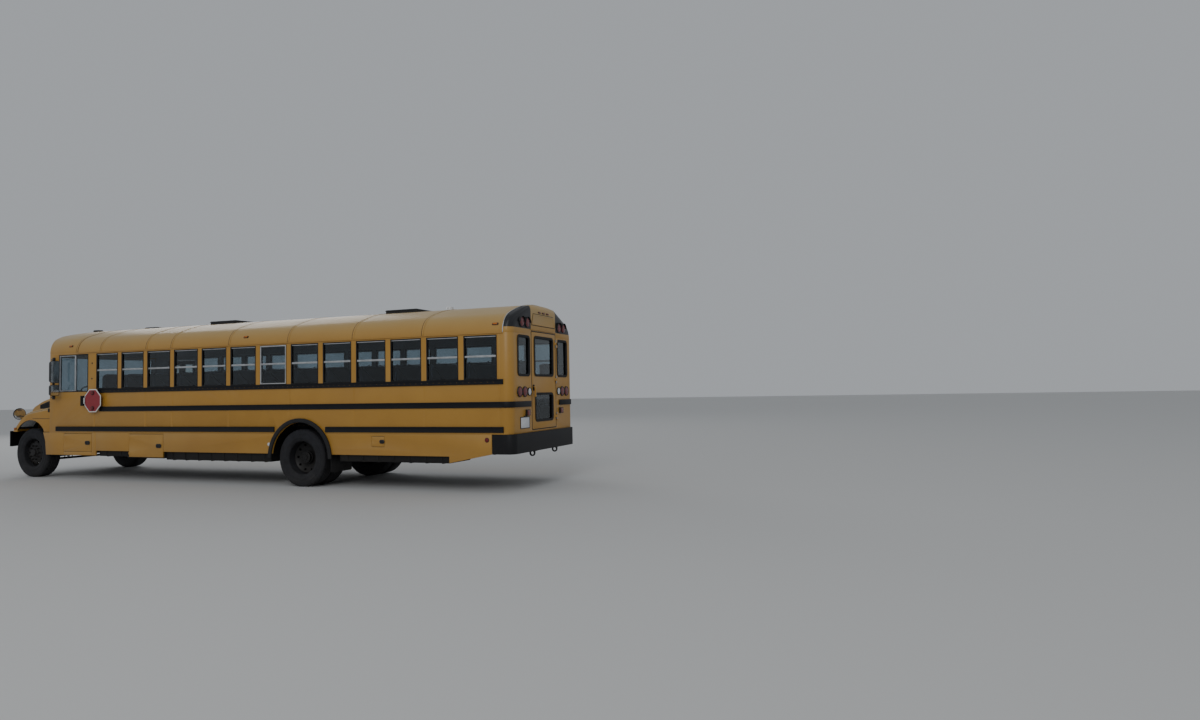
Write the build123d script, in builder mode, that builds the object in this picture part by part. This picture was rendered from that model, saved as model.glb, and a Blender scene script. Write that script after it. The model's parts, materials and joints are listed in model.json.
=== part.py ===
from build123d import *
from math import atan2, cos, radians, sin, sqrt
import os

os.makedirs("parts", exist_ok=True)

# School bus with a front hood, in millimetres. X points forward, Y to the driver's side, Z up.
# The origin is on the ground, at mid-length and mid-width.

# Overall sizes
wheelbase = 7010
front_overhang = 900
rear_overhang = 4160
body_width = 2438
roof_height = 3055
wall = 45
clearance = 6

# Heights
sill_z = 925
floor_top_z = 1000
floor_thickness = 60
window_low_z = 1790
window_high_z = 2490
rail_top_z = 870

# Shape of the roof, tail and front end
roof_corner_radius = 350
roof_crown_radius = 2500
tail_radius = 130
tail_depth = 190
nose_bulge = 340
rear_bumper_depth = 40
front_cap_length = 1125
cowl_setback = 600

# Wheels and axles
tyre_radius = 500
tyre_width = 280
rim_radius = 286
front_track_half = 1030
dual_outer_y = 1050
dual_spacing = 325
kingpin_y = 905
spindle_radius = 38
rear_spindle_radius = 55
running_gap = 0.05

# Side windows: pitch and size of one opening
window_count = 13
window_pitch = 695.3
window_width = 596
first_window_setback = 1948
glass_thickness = 6
sash_height = 28

# Doors
entry_width = 820
entry_low_z = 440
entry_high_z = 2440
entry_setback = 1015
entry_leaf_thickness = 40
entry_meeting_gap = 14
rear_door_half = 490
rear_door_low_z = 955
rear_door_high_z = 2590
hinge_offset = 14
hinge_barrel_radius = 9

# Values worked out from the sizes above
overall_length = wheelbase + front_overhang + rear_overhang
front_face_x = overall_length / 2
rear_face_x = -overall_length / 2
rear_axle_x = rear_face_x + rear_overhang
front_axle_x = rear_axle_x + wheelbase
axle_z = tyre_radius
half_width = body_width / 2
inner_half = half_width - wall
tail_x = rear_face_x + rear_bumper_depth
tail_front_x = tail_x + tail_depth
cowl_x = front_axle_x - cowl_setback
floor_low_z = floor_top_z - floor_thickness
crown_centre_z = roof_height - roof_crown_radius
corner_centre_y = half_width - roof_corner_radius
corner_reach = roof_crown_radius - roof_corner_radius
spring_z = crown_centre_z + sqrt(corner_reach**2 - corner_centre_y**2)
nose_radius = (half_width**2 + nose_bulge**2) / (2 * nose_bulge)
nose_x = cowl_x + nose_bulge
nose_centre_x = nose_x - nose_radius
cap_joint_x = nose_x - front_cap_length
first_window_x = front_axle_x - first_window_setback
entry_front_x = front_axle_x - entry_setback
entry_rear_x = entry_front_x - entry_width


def window_centres():
    return [first_window_x - window_width / 2 - window_pitch * i for i in range(window_count)]


def body_section(inset):
    # Cross-section of the body: straight sides, two corner arcs and one crown arc
    side = half_width - inset
    corner = roof_corner_radius - inset
    crown = roof_crown_radius - inset
    knee_angle = atan2(spring_z - crown_centre_z, corner_centre_y)
    knee_y = crown * cos(knee_angle)
    knee_z = crown_centre_z + crown * sin(knee_angle)
    bend_y = corner_centre_y + corner * cos(knee_angle / 2)
    bend_z = spring_z + corner * sin(knee_angle / 2)
    with BuildSketch() as section:
        with BuildLine():
            Polyline((-side, spring_z), (-side, sill_z), (side, sill_z), (side, spring_z))
            ThreePointArc((side, spring_z), (bend_y, bend_z), (knee_y, knee_z))
            ThreePointArc((knee_y, knee_z), (0, roof_height - inset), (-knee_y, knee_z))
            ThreePointArc((-knee_y, knee_z), (-bend_y, bend_z), (-side, spring_z))
        make_face()
    return section.sketch


def block(x_range, y_range, z_range):
    # A plain block between two X, two Y and two Z values
    with BuildPart() as made:
        centre = ((x_range[0] + x_range[1]) / 2, (y_range[0] + y_range[1]) / 2)
        with BuildSketch(Plane.XY.offset(z_range[0])):
            with Locations(centre):
                Rectangle(abs(x_range[1] - x_range[0]), abs(y_range[1] - y_range[0]))
        extrude(amount=z_range[1] - z_range[0])
    return made.part


def bar(start, end, radius):
    # A round bar between two points, for bores, pins and shafts
    line = Vector(*end) - Vector(*start)
    with BuildPart() as made:
        with BuildSketch(Plane(origin=start, z_dir=line)):
            Circle(radius)
        extrude(amount=line.length)
    return made.part


def rod(start, end, radius, sides=8):
    # A slim bar with flats between two points, for stalks, barrels and lamps
    line = Vector(*end) - Vector(*start)
    with BuildPart() as made:
        with BuildSketch(Plane(origin=start, z_dir=line)):
            RegularPolygon(radius, sides, major_radius=False)
        extrude(amount=line.length)
    return made.part


def save(builder, name):
    builder.part.label = name
    export_step(builder.part, "parts/" + name + ".step")


def save_joined(builders, name):
    # Saves members that touch, such as riveted ones, as one piece without melting them together
    whole = Compound([solid for builder in builders for solid in builder.part.solids()])
    whole.label = name
    export_step(whole, "parts/" + name + ".step")


# Tail: one shell with rounded rear corners, split into the rear wall and the rear roof cap
def edge_cut(angle, inset):
    # Keeps what lies inside one rounded edge of the tail; the edge runs square to the angle's direction
    reach = roof_height
    radius = tail_radius - inset
    outward = Vector(0, cos(radians(angle)), sin(radians(angle)))
    if 0 < angle < 180:
        centre_y = corner_centre_y if angle < 90 else -corner_centre_y
        edge = Vector(0, centre_y, spring_z) + outward * (roof_corner_radius - inset)
    if angle == 90:
        edge = Vector(0, 0, roof_height - inset)
    if angle in (0, 180):
        edge = Vector(0, outward.Y * (half_width - inset), 0)
    rear_x = tail_x + inset
    plane = Plane(origin=(rear_x, edge.Y, edge.Z), x_dir=(1, 0, 0), z_dir=Vector(1, 0, 0).cross(outward))
    with BuildPart() as keep:
        with BuildSketch(plane.offset(-reach)):
            with BuildLine():
                Polyline((radius, 0), (2 * reach, 0), (2 * reach, -2 * reach), (0, -2 * reach), (0, -radius))
                RadiusArc((0, -radius), (radius, 0), radius)
            make_face()
        extrude(amount=2 * reach)
    return keep.part


def tail_solid(inset):
    with BuildPart() as solid:
        with BuildSketch(Plane.YZ.offset(tail_x + inset)):
            add(body_section(inset))
        extrude(amount=tail_depth)
        for angle in tail_edge_angles:
            add(edge_cut(angle, inset), mode=Mode.INTERSECT)
    return solid.part


# Directions in which the tail's edge is rounded, in degrees from the driver's side up and over
tail_edge_angles = [0, 22.5, 45, 67.5, 90, 112.5, 135, 157.5, 180]


tail_outer = tail_solid(0)
tail_inner = tail_solid(wall)
rear_window_y = 765
rear_window_width = 419
rear_window_low_z = 1853
rear_window_height = 632
hinge_y = -rear_door_half + clearance / 2
hinge_x = tail_x - hinge_offset
rear_hinge_heights = [1150, 1790, 2420]
hinge_segment = 45
hinge_strap = 60

with BuildPart() as rear_wall:
    add(tail_outer)
    add(tail_inner, mode=Mode.SUBTRACT)
    split(bisect_by=Plane.XY.offset(spring_z), keep=Keep.BOTTOM)
    with BuildSketch(Plane.YZ.offset(tail_x)):
        with Locations((0, (rear_door_low_z + rear_door_high_z) / 2)):
            Rectangle(2 * rear_door_half, rear_door_high_z - rear_door_low_z)
        with Locations((rear_window_y, rear_window_low_z + rear_window_height / 2)):
            Rectangle(rear_window_width, rear_window_height)
        with Locations((-rear_window_y, rear_window_low_z + rear_window_height / 2)):
            Rectangle(rear_window_width, rear_window_height)
    extrude(amount=wall, mode=Mode.SUBTRACT)
    for height in rear_hinge_heights:
        for side in (-1, 1):
            middle = height + side * (hinge_segment + 1)
            add(rod((hinge_x, hinge_y, middle - hinge_segment / 2), (hinge_x, hinge_y, middle + hinge_segment / 2),
                    hinge_barrel_radius))
            add(block((hinge_x, tail_x), (hinge_y - hinge_strap, hinge_y),
                      (middle - hinge_segment / 2, middle + hinge_segment / 2)))
save(rear_wall, "rear_wall")

with BuildPart() as rear_roof_cap:
    add(tail_outer)
    add(tail_inner, mode=Mode.SUBTRACT)
    split(bisect_by=Plane.XY.offset(spring_z), keep=Keep.TOP)
    with BuildSketch(Plane.YZ.offset(tail_x)):
        with Locations((0, (rear_door_low_z + rear_door_high_z) / 2)):
            Rectangle(2 * rear_door_half, rear_door_high_z - rear_door_low_z)
    extrude(amount=wall, mode=Mode.SUBTRACT)
save(rear_roof_cap, "rear_roof_cap")

# Rear emergency door: an outward leaf with two windows and a lever handle
rear_leaf_half = rear_door_half - clearance
rear_leaf_low_z = rear_door_low_z + clearance
rear_leaf_high_z = rear_door_high_z - clearance
# Columns: low Z, high Z, half width of each window in the rear door
rear_door_windows = [(1102, 1550, 347), (1855, 2495, 368)]

with BuildPart() as rear_door:
    add(block((tail_x, tail_x + wall), (-rear_leaf_half, rear_leaf_half), (rear_leaf_low_z, rear_leaf_high_z)))
    with BuildSketch(Plane.YZ.offset(tail_x)):
        for low_z, high_z, half in rear_door_windows:
            with Locations((0, (low_z + high_z) / 2)):
                Rectangle(2 * half, high_z - low_z)
    extrude(amount=wall, mode=Mode.SUBTRACT)
    for height in rear_hinge_heights:
        low, high = height - hinge_segment / 2, height + hinge_segment / 2
        add(rod((hinge_x, hinge_y, low), (hinge_x, hinge_y, high), hinge_barrel_radius))
        add(block((hinge_x, tail_x), (hinge_y, hinge_y + hinge_strap), (low, high)))
    add(block((tail_x - 45, tail_x), (400, 430), (1640, 1670)))
    add(block((tail_x - 45, tail_x - 25), (400, 430), (1500, 1670)))
save(rear_door, "rear_door")

with BuildPart() as rear_door_glass:
    for low_z, high_z, half in rear_door_windows:
        add(block((tail_x + wall / 2, tail_x + wall / 2 + glass_thickness), (-half, half), (low_z, high_z)))
save(rear_door_glass, "rear_door_glass")

# Side walls, with a row of window openings and the rear wheel arch
arch_radius = 620
arch_sides = 48
driver_window_front_x = cowl_x - 266
driver_window_width = 850
driver_window_low_z = 1736
driver_window_high_z = 2490
driver_divider_x = driver_window_front_x - 476


def upright(y):
    # Upright plane across the bus at one Y: sketches on it read X and Z, and extrude by -t goes towards +Y
    return Plane(origin=(0, y, 0), x_dir=(1, 0, 0), z_dir=(0, -1, 0))


def side_panel(front_x, side):
    # Flat side of the body up to the roof's spring line, with the passenger windows cut
    window_z = (window_low_z + window_high_z) / 2
    with BuildPart() as panel:
        with BuildSketch(upright(side * inner_half)):
            with Locations(((tail_front_x + front_x) / 2, (sill_z + spring_z) / 2)):
                Rectangle(front_x - tail_front_x, spring_z - sill_z)
            with Locations([(centre_x, window_z) for centre_x in window_centres()]):
                Rectangle(window_width, window_high_z - window_low_z, mode=Mode.SUBTRACT)
            with Locations((rear_axle_x, axle_z)):
                RegularPolygon(arch_radius, arch_sides, major_radius=False, mode=Mode.SUBTRACT)
        extrude(amount=-side * wall)
    return panel.part


with BuildPart() as left_side_wall:
    add(side_panel(cowl_x, 1))
    add(block((driver_window_front_x - driver_window_width, driver_window_front_x), (inner_half, half_width),
              (driver_window_low_z, driver_window_high_z)), mode=Mode.SUBTRACT)
save(left_side_wall, "left_side_wall")

with BuildPart() as right_side_wall:
    add(side_panel(entry_rear_x, -1))
save(right_side_wall, "right_side_wall")

# Front wall: a curved band with the windshield openings, and the frame of the entry door
windshield_low_z = 1720
windshield_high_z = 2470
windshield_side_y = 1120
windshield_post = 60


def nose_band(outer_inset, inner_inset, low_z, high_z):
    # Part of a ring about the nose's centre, as wide as the body inside its side walls
    with BuildPart() as band:
        with BuildSketch(Plane.XY.offset(low_z)):
            with Locations((nose_centre_x, 0)):
                Circle(nose_radius - outer_inset)
                Circle(nose_radius - inner_inset, mode=Mode.SUBTRACT)
            with Locations((nose_x, 0)):
                Rectangle(4 * nose_bulge, body_width, mode=Mode.INTERSECT)
        extrude(amount=high_z - low_z)
    return band.part


with BuildPart() as front_wall:
    add(nose_band(0, wall, floor_low_z, spring_z))
    for side in (-1, 1):
        add(block((0, cowl_x), (side * inner_half, side * (half_width + wall)), (0, roof_height)),
            mode=Mode.SUBTRACT)
        add(block((0, front_face_x), (side * windshield_post / 2, side * windshield_side_y),
                  (windshield_low_z, windshield_high_z)), mode=Mode.SUBTRACT)
    add(block((entry_front_x, cowl_x), (-half_width, -inner_half), (sill_z, spring_z)))
    add(block((entry_rear_x, entry_front_x), (-half_width, -inner_half), (entry_high_z, spring_z)))
save(front_wall, "front_wall")

# Roof: the section above the spring line, with two raised hatch openings
# Columns: name, X of the hatch's centre
hatches = [("front", 850), ("rear", -3350)]
hatch_opening = 600
hatch_curb = 20
hatch_curb_z = roof_height + 12
hatch_lid = 672
hatch_lid_thickness = 25

with BuildPart() as roof:
    with BuildSketch(Plane.YZ.offset(tail_front_x)):
        add(body_section(0))
        add(body_section(wall), mode=Mode.SUBTRACT)
    extrude(amount=cap_joint_x - tail_front_x)
    split(bisect_by=Plane.XY.offset(spring_z), keep=Keep.TOP)
    for name, centre_x in hatches:
        reach = hatch_opening / 2 + hatch_curb
        add(block((centre_x - reach, centre_x + reach), (-reach, reach), (roof_height - wall, hatch_curb_z)))
        reach = hatch_opening / 2
        add(block((centre_x - reach, centre_x + reach), (-reach, reach), (spring_z, hatch_curb_z)),
            mode=Mode.SUBTRACT)
save(roof, "roof")

for name, centre_x in hatches:
    with BuildPart() as hatch:
        reach = hatch_lid / 2
        low_z = hatch_curb_z + clearance
        add(block((centre_x - reach, centre_x + reach), (-reach, reach), (low_z, low_z + hatch_lid_thickness)))
        chamfer(hatch.faces().sort_by(Axis.Z)[-1].edges(), hatch_lid_thickness * 0.6)
    save(hatch, "roof_hatch_" + name)

# Front roof cap: the roof's section, cut to the nose's plan and rounded down to the windshield
brow_top_length = 850
brow_top_drop = 100
brow_front_rise = 180


def cap_solid(inset):
    top = roof_height - inset
    front_x = nose_x - inset
    knee = (cap_joint_x + brow_top_length - inset, top - brow_top_drop)
    brow_foot = (front_x, spring_z + brow_front_rise)
    with BuildPart() as solid:
        with BuildSketch(Plane.YZ.offset(cap_joint_x)):
            add(body_section(inset))
        extrude(amount=front_cap_length)
        with BuildSketch(upright(half_width)):
            with BuildLine():
                crown = ThreePointArc((cap_joint_x, top), (cap_joint_x + brow_top_length / 2, top - brow_top_drop / 4),
                                      knee)
                TangentArc(knee, brow_foot, tangent=crown % 1)
                Polyline(brow_foot, (front_x, spring_z), (cap_joint_x, spring_z), (cap_joint_x, top))
            make_face()
        extrude(amount=body_width, mode=Mode.INTERSECT)
        with BuildSketch(Plane.XY.offset(spring_z)):
            with Locations((nose_centre_x, 0)):
                Circle(nose_radius - inset)
        extrude(amount=roof_height, mode=Mode.INTERSECT)
    return solid.part


with BuildPart() as front_roof_cap:
    add(cap_solid(0))
    add(cap_solid(wall), mode=Mode.SUBTRACT)
save(front_roof_cap, "front_roof_cap")

# Floor: a plate with cross sills, wheelhouses over the rear wheels and the entry steps
wheelhouse_half = 660
wheelhouse_y = 560
wheelhouse_z = 1200
sheet = 20
sill_depth = floor_low_z - rail_top_z
# X of each cross sill under the floor
cross_sills = [-5600, -4950, -4250, -3550, -2850, -850, -150, 550, 1250, 1950, 2650]
sill_width = 100
step_depth = 230
step_rise = 270
step_edge_y = -half_width + clearance + entry_leaf_thickness
front_cavity_radius = nose_radius - wall


def entry_steps():
    # Two steps below the floor, as bent sheet, with a closed wall at each end
    first, second = step_edge_y + step_depth, step_edge_y + 2 * step_depth
    low_z = entry_low_z + clearance
    with BuildPart() as steps:
        with BuildSketch(Plane.YZ.offset(entry_rear_x)):
            with BuildLine():
                Polyline((step_edge_y, low_z), (first, low_z), (first, low_z + step_rise), (second, low_z + step_rise),
                         (second, floor_top_z), (second - sheet, floor_top_z),
                         (second - sheet, low_z + step_rise + sheet), (first - sheet, low_z + step_rise + sheet),
                         (first - sheet, low_z + sheet), (step_edge_y, low_z + sheet), close=True)
            make_face()
        extrude(amount=entry_width)
        for x in (entry_rear_x, entry_front_x - sheet):
            with BuildSketch(Plane.YZ.offset(x)):
                with BuildLine():
                    Polyline((step_edge_y, low_z), (first, low_z), (first, low_z + step_rise),
                             (second, low_z + step_rise), (second, floor_top_z), (step_edge_y, floor_top_z),
                             close=True)
                make_face()
            extrude(amount=sheet)
    return steps.part


with BuildPart() as floor_plate:
    with BuildSketch(Plane.XY.offset(floor_low_z)):
        with Locations((nose_centre_x, 0)):
            Circle(front_cavity_radius)
        with Locations((tail_x + wall + (nose_centre_x - tail_x) / 2, 0)):
            Rectangle(nose_centre_x - tail_x, 4 * half_width)
        with Locations(((tail_x + wall + nose_x) / 2, 0)):
            Rectangle(nose_x - tail_x - wall, 2 * inner_half, mode=Mode.INTERSECT)
    extrude(amount=floor_thickness)
    fillet(floor_plate.edges().filter_by(Axis.Z).group_by(Axis.X)[0], tail_radius - wall)
    with BuildSketch(Plane.XY.offset(floor_low_z)):
        for side in (-1, 1):
            with Locations((rear_axle_x, side * (wheelhouse_y + inner_half) / 2)):
                Rectangle(2 * wheelhouse_half + 2 * sheet, inner_half - wheelhouse_y)
        with Locations(((entry_rear_x + entry_front_x) / 2, (step_edge_y + step_depth - inner_half) / 2)):
            Rectangle(entry_width, 3 * step_depth)
    extrude(amount=floor_thickness, mode=Mode.SUBTRACT)

with BuildPart() as floor_sills:
    with BuildSketch(Plane.XY.offset(rail_top_z)):
        with Locations([(x, 0) for x in cross_sills]):
            Rectangle(sill_width, 2 * wheelhouse_y)
    extrude(amount=sill_depth)

with BuildPart() as wheelhouses:
    for side in (-1, 1):
        with BuildSketch(upright(side * wheelhouse_y)):
            with Locations((rear_axle_x, (floor_low_z + wheelhouse_z) / 2)):
                Rectangle(2 * wheelhouse_half + 2 * sheet, wheelhouse_z - floor_low_z)
        extrude(amount=-side * (inner_half - wheelhouse_y))
        with BuildSketch(upright(side * (wheelhouse_y + sheet))):
            with Locations((rear_axle_x, (floor_low_z + wheelhouse_z - sheet) / 2)):
                Rectangle(2 * wheelhouse_half, wheelhouse_z - sheet - floor_low_z)
        extrude(amount=-side * (inner_half - wheelhouse_y - sheet), mode=Mode.SUBTRACT)

with BuildPart() as stepwell:
    add(entry_steps())
save_joined([floor_plate, floor_sills, wheelhouses, stepwell], "floor")

# Chassis frame: two channel rails, cross members, tow eyes and the hood's hinge brackets
rail_depth = 260
rail_outer_y = 432
rail_flange = 80
rail_gauge = 8
front_bumper_depth = 90
rear_bumper_gauge = 12
rail_low_z = rail_top_z - rail_depth
rail_rear_x = rear_face_x + rear_bumper_gauge
rail_front_x = front_face_x - front_bumper_depth
# X of each cross member between the rails
cross_members = [-5700, -4400, -3000, -1000, 1000, 2600, 4300, 5800]
member_width = 70
member_inset = 40
tow_eye_radius = 28
tow_eye_outer = 50
tow_eye_gauge = 24
tow_eye_z = 580
tow_eye_top_z = 700
tow_eye_setback = 50
hood_pivot_x = front_face_x - 135
hood_pivot_z = 985
hood_pin_radius = 14
hood_pivot_y = 360
hood_ear = 30

with BuildPart() as rails:
    with BuildSketch(Plane.YZ.offset(rail_rear_x)):
        for side in (-1, 1):
            with Locations((side * (rail_outer_y - rail_flange / 2), rail_low_z + rail_depth / 2)):
                Rectangle(rail_flange, rail_depth)
            with Locations((side * (rail_outer_y - rail_gauge - rail_flange / 2), rail_low_z + rail_depth / 2)):
                Rectangle(rail_flange, rail_depth - 2 * rail_gauge, mode=Mode.SUBTRACT)
    extrude(amount=rail_front_x - rail_rear_x)

with BuildPart() as members:
    with BuildSketch(Plane.XY.offset(rail_low_z + member_inset)):
        with Locations([(x, 0) for x in cross_members]):
            Rectangle(member_width, 2 * (rail_outer_y - rail_gauge))
    extrude(amount=rail_depth - 2 * member_inset)

with BuildPart() as tow_eyes:
    for side in (-1, 1):
        with BuildSketch(upright(side * rail_outer_y)):
            with Locations((rail_rear_x + tow_eye_setback, (tow_eye_z + tow_eye_top_z) / 2)):
                Rectangle(2 * tow_eye_outer, tow_eye_top_z - tow_eye_z)
            with Locations((rail_rear_x + tow_eye_setback, tow_eye_z)):
                RegularPolygon(tow_eye_outer, 12, major_radius=False)
            with Locations((rail_rear_x + tow_eye_setback, tow_eye_z)):
                Circle(tow_eye_radius, mode=Mode.SUBTRACT)
        extrude(amount=-side * tow_eye_gauge)

with BuildPart() as hood_brackets:
    for side in (-1, 1):
        outer = hood_pivot_y + hood_ear / 2 + clearance
        with BuildSketch(upright(side * outer)):
            with Locations((hood_pivot_x, (rail_top_z + hood_pivot_z) / 2)):
                Rectangle(2 * hood_ear, hood_pivot_z - rail_top_z)
            with Locations((hood_pivot_x, hood_pivot_z)):
                RegularPolygon(hood_ear, 12, major_radius=False)
        extrude(amount=-side * hood_ear)
        add(bar((hood_pivot_x, side * (outer - hood_ear - 2 * clearance), hood_pivot_z),
                (hood_pivot_x, side * outer, hood_pivot_z), hood_pin_radius))
save_joined([rails, members, tow_eyes, hood_brackets], "chassis_frame")

# Bumpers
front_bumper_low_z = 628
front_bumper_high_z = 949
front_bumper_half = 1190
front_bumper_flat = 550
front_bumper_sweep = 240
front_bumper_gauge = 8
rear_bumper_low_z = 615
rear_bumper_side = 340
rear_bumper_wrap_x = tail_x + rear_bumper_side


def front_bumper_plan(inset, depth):
    with BuildSketch() as plan:
        with BuildLine():
            face = front_face_x - inset
            tip_x = front_face_x - front_bumper_sweep - inset
            bend = ((front_bumper_flat + front_bumper_half) / 2, face - front_bumper_sweep * 0.25)
            Line((face, -front_bumper_flat), (face, front_bumper_flat))
            ThreePointArc((face, front_bumper_flat), (bend[1], bend[0]), (tip_x, front_bumper_half))
            Line((tip_x, front_bumper_half), (tip_x - depth, front_bumper_half))
            ThreePointArc((tip_x - depth, front_bumper_half), (bend[1] - depth, bend[0]),
                          (face - depth, front_bumper_flat))
            Line((face - depth, front_bumper_flat), (face - depth, -front_bumper_flat))
            ThreePointArc((face - depth, -front_bumper_flat), (bend[1] - depth, -bend[0]),
                          (tip_x - depth, -front_bumper_half))
            Line((tip_x - depth, -front_bumper_half), (tip_x, -front_bumper_half))
            ThreePointArc((tip_x, -front_bumper_half), (bend[1], -bend[0]), (face, -front_bumper_flat))
        make_face()
    return plan.sketch


with BuildPart() as front_bumper:
    with BuildSketch(Plane.XY.offset(front_bumper_low_z)):
        add(front_bumper_plan(0, front_bumper_depth))
    extrude(amount=front_bumper_high_z - front_bumper_low_z)
    with BuildSketch(Plane.XY.offset(front_bumper_low_z + front_bumper_gauge)):
        add(front_bumper_plan(front_bumper_gauge, front_bumper_depth))
    extrude(amount=front_bumper_high_z - front_bumper_low_z - 2 * front_bumper_gauge, mode=Mode.SUBTRACT)
save(front_bumper, "front_bumper")


def rear_bumper_block(inset, low_z, high_z):
    with BuildPart() as solid:
        add(block((rear_face_x + inset, rear_bumper_wrap_x), (-half_width + inset, half_width - inset),
                  (low_z, high_z)))
        corners = solid.edges().filter_by(Axis.Z).group_by(Axis.X)[0]
        fillet(corners, tail_radius - inset)
    return solid.part


with BuildPart() as rear_bumper:
    add(rear_bumper_block(0, rear_bumper_low_z, sill_z))
    add(rear_bumper_block(rear_bumper_gauge, rear_bumper_low_z, sill_z - rear_bumper_gauge), mode=Mode.SUBTRACT)
    add(block((tail_x + wall, rear_bumper_wrap_x), (-inner_half, inner_half), (rear_bumper_low_z, sill_z)),
        mode=Mode.SUBTRACT)
save(rear_bumper, "rear_bumper")

# Skirts under the side walls
skirt_thickness = 30
skirt_inner_y = half_width - skirt_thickness
skirt_rear_x = rear_bumper_wrap_x + 10
skirt_front_low_z = 475
skirt_mid_low_z = 570
front_door_rear_x, front_door_front_x = 3303, 4108
front_door_low_z, front_door_high_z = 543, 905
mid_door_rear_x, mid_door_front_x = 1369, 2275
mid_door_low_z, mid_door_high_z = 457, 905
flap_rear_x, flap_front_x = -3634, -3378
flap_low_z, flap_high_z = 708, 890
pack_split_x = 3185
arch_rear_edge = [(409, 925), (471, 759), (502, 475)]
wheel_gap_front_x = rear_axle_x + 400
wheel_gap_rear_x = rear_axle_x - 400
tail_corner_x = rear_axle_x - 3000


def rear_skirt(side):
    with BuildPart() as panel:
        with BuildSketch(upright(side * skirt_inner_y)):
            with BuildLine():
                Polyline((wheel_gap_rear_x, sill_z), (wheel_gap_rear_x, skirt_mid_low_z),
                         (tail_corner_x, skirt_mid_low_z), (tail_corner_x, 465), (skirt_rear_x, 613),
                         (skirt_rear_x, sill_z), close=True)
            make_face()
            if side > 0:
                with Locations(((flap_rear_x + flap_front_x) / 2, (flap_low_z + flap_high_z) / 2)):
                    Rectangle(flap_front_x - flap_rear_x, flap_high_z - flap_low_z, mode=Mode.SUBTRACT)
        extrude(amount=-side * skirt_thickness)
    return panel.part


# X and Z along the rear edge of the front wheel arch, where the fixed skirts end
arch_points = [(front_axle_x - behind, z) for behind, z in arch_rear_edge]

# Columns: side, rear X, front X, low Z, high Z of each plate between the wheels, with open joints between them
skirt_plates = [
    (1, wheel_gap_front_x, mid_door_rear_x, skirt_mid_low_z, sill_z),
    (1, mid_door_rear_x, mid_door_front_x, mid_door_high_z, sill_z),
    (1, mid_door_front_x, pack_split_x, skirt_mid_low_z, sill_z),
    (1, pack_split_x, front_door_rear_x, skirt_front_low_z, sill_z),
    (1, front_door_rear_x, front_door_front_x, front_door_high_z, sill_z),
    (1, front_door_rear_x, front_door_front_x, skirt_front_low_z, front_door_low_z),
    (-1, wheel_gap_front_x, pack_split_x, skirt_mid_low_z, sill_z),
    (-1, pack_split_x, entry_rear_x, skirt_front_low_z, sill_z),
]
plate_joint = 2

with BuildPart() as skirt_panels:
    add(rear_skirt(1))
    add(rear_skirt(-1))
    for side, rear_x, front_x, low_z, high_z in skirt_plates:
        add(block((rear_x + plate_joint / 2, front_x - plate_joint / 2), (side * skirt_inner_y, side * half_width),
                  (low_z, high_z)))
    for side, rear_x in ((1, front_door_front_x + plate_joint / 2), (-1, entry_front_x + plate_joint / 2)):
        with BuildSketch(upright(side * skirt_inner_y)):
            with BuildLine():
                Polyline((rear_x, sill_z), (rear_x, skirt_front_low_z), *reversed(arch_points), close=True)
            make_face()
        extrude(amount=-side * skirt_thickness)
    with BuildSketch(upright(body_width)):
        with Locations((rear_axle_x, axle_z)):
            RegularPolygon(arch_radius, arch_sides, major_radius=False)
    extrude(amount=2 * body_width, mode=Mode.SUBTRACT)
save(skirt_panels, "skirt_panels")


# Doors in the skirts, each hinged on its front edge with two barrels outside the panel
def skirt_door(rear_x, front_x, low_z, high_z, barrel_length):
    pin_x = front_x - clearance / 2
    pin_y = half_width + hinge_offset
    with BuildPart() as leaf:
        add(block((rear_x + clearance, front_x - clearance), (skirt_inner_y, half_width),
                  (low_z + clearance, high_z - clearance)))
        for height in (low_z + barrel_length * 1.5, high_z - barrel_length * 1.5):
            add(rod((pin_x, pin_y, height - barrel_length / 2), (pin_x, pin_y, height + barrel_length / 2),
                    hinge_barrel_radius))
            add(block((pin_x - 3 * hinge_barrel_radius, pin_x), (half_width, pin_y),
                      (height - barrel_length / 2, height + barrel_length / 2)))
    return leaf.part


# Columns: node, rear X, front X, low Z, high Z, length of a hinge barrel
skirt_doors = [
    ("compartment_door_front", front_door_rear_x, front_door_front_x, front_door_low_z, front_door_high_z, 50),
    ("compartment_door_middle", mid_door_rear_x, mid_door_front_x, mid_door_low_z, mid_door_high_z, 50),
    ("charge_port_flap", flap_rear_x, flap_front_x, flap_low_z, flap_high_z, 30),
]
for name, rear_x, front_x, low_z, high_z, barrel_length in skirt_doors:
    with BuildPart() as leaf:
        add(skirt_door(rear_x, front_x, low_z, high_z, barrel_length))
        with Locations((rear_x + 110 if barrel_length > 40 else rear_x + 40, half_width + 8, (low_z + high_z) / 2)):
            Box(2 * barrel_length, 16, barrel_length)
    save(leaf, name)

# Equipment bays of sheet walls behind the two side doors, and the battery packs slung outside the rails
bay_inner_y = 620
pack_inner_y = 530
pack_outer_y = 1175
pack_top_z = 860
bay_sheet = 12
bay_bracket_half = 60
bay_bracket_z_range = (700, 760)
# Columns: rear X, front X, low Z of each bay
bays = [(front_door_rear_x, front_door_front_x, front_door_low_z),
        (mid_door_rear_x, mid_door_front_x, mid_door_low_z)]

with BuildPart() as bay_ends:
    for rear_x, front_x, low_z in bays:
        for low_x in (rear_x - bay_sheet, front_x):
            add(block((low_x, low_x + bay_sheet), (bay_inner_y, skirt_inner_y), (low_z - bay_sheet, pack_top_z + bay_sheet)))

with BuildPart() as bay_decks:
    for rear_x, front_x, low_z in bays:
        for deck_z in (low_z - bay_sheet, pack_top_z):
            add(block((rear_x, front_x), (bay_inner_y, skirt_inner_y), (deck_z, deck_z + bay_sheet)))

with BuildPart() as bay_backs:
    for rear_x, front_x, low_z in bays:
        add(block((rear_x, front_x), (bay_inner_y, bay_inner_y + bay_sheet), (low_z, pack_top_z)))

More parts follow.
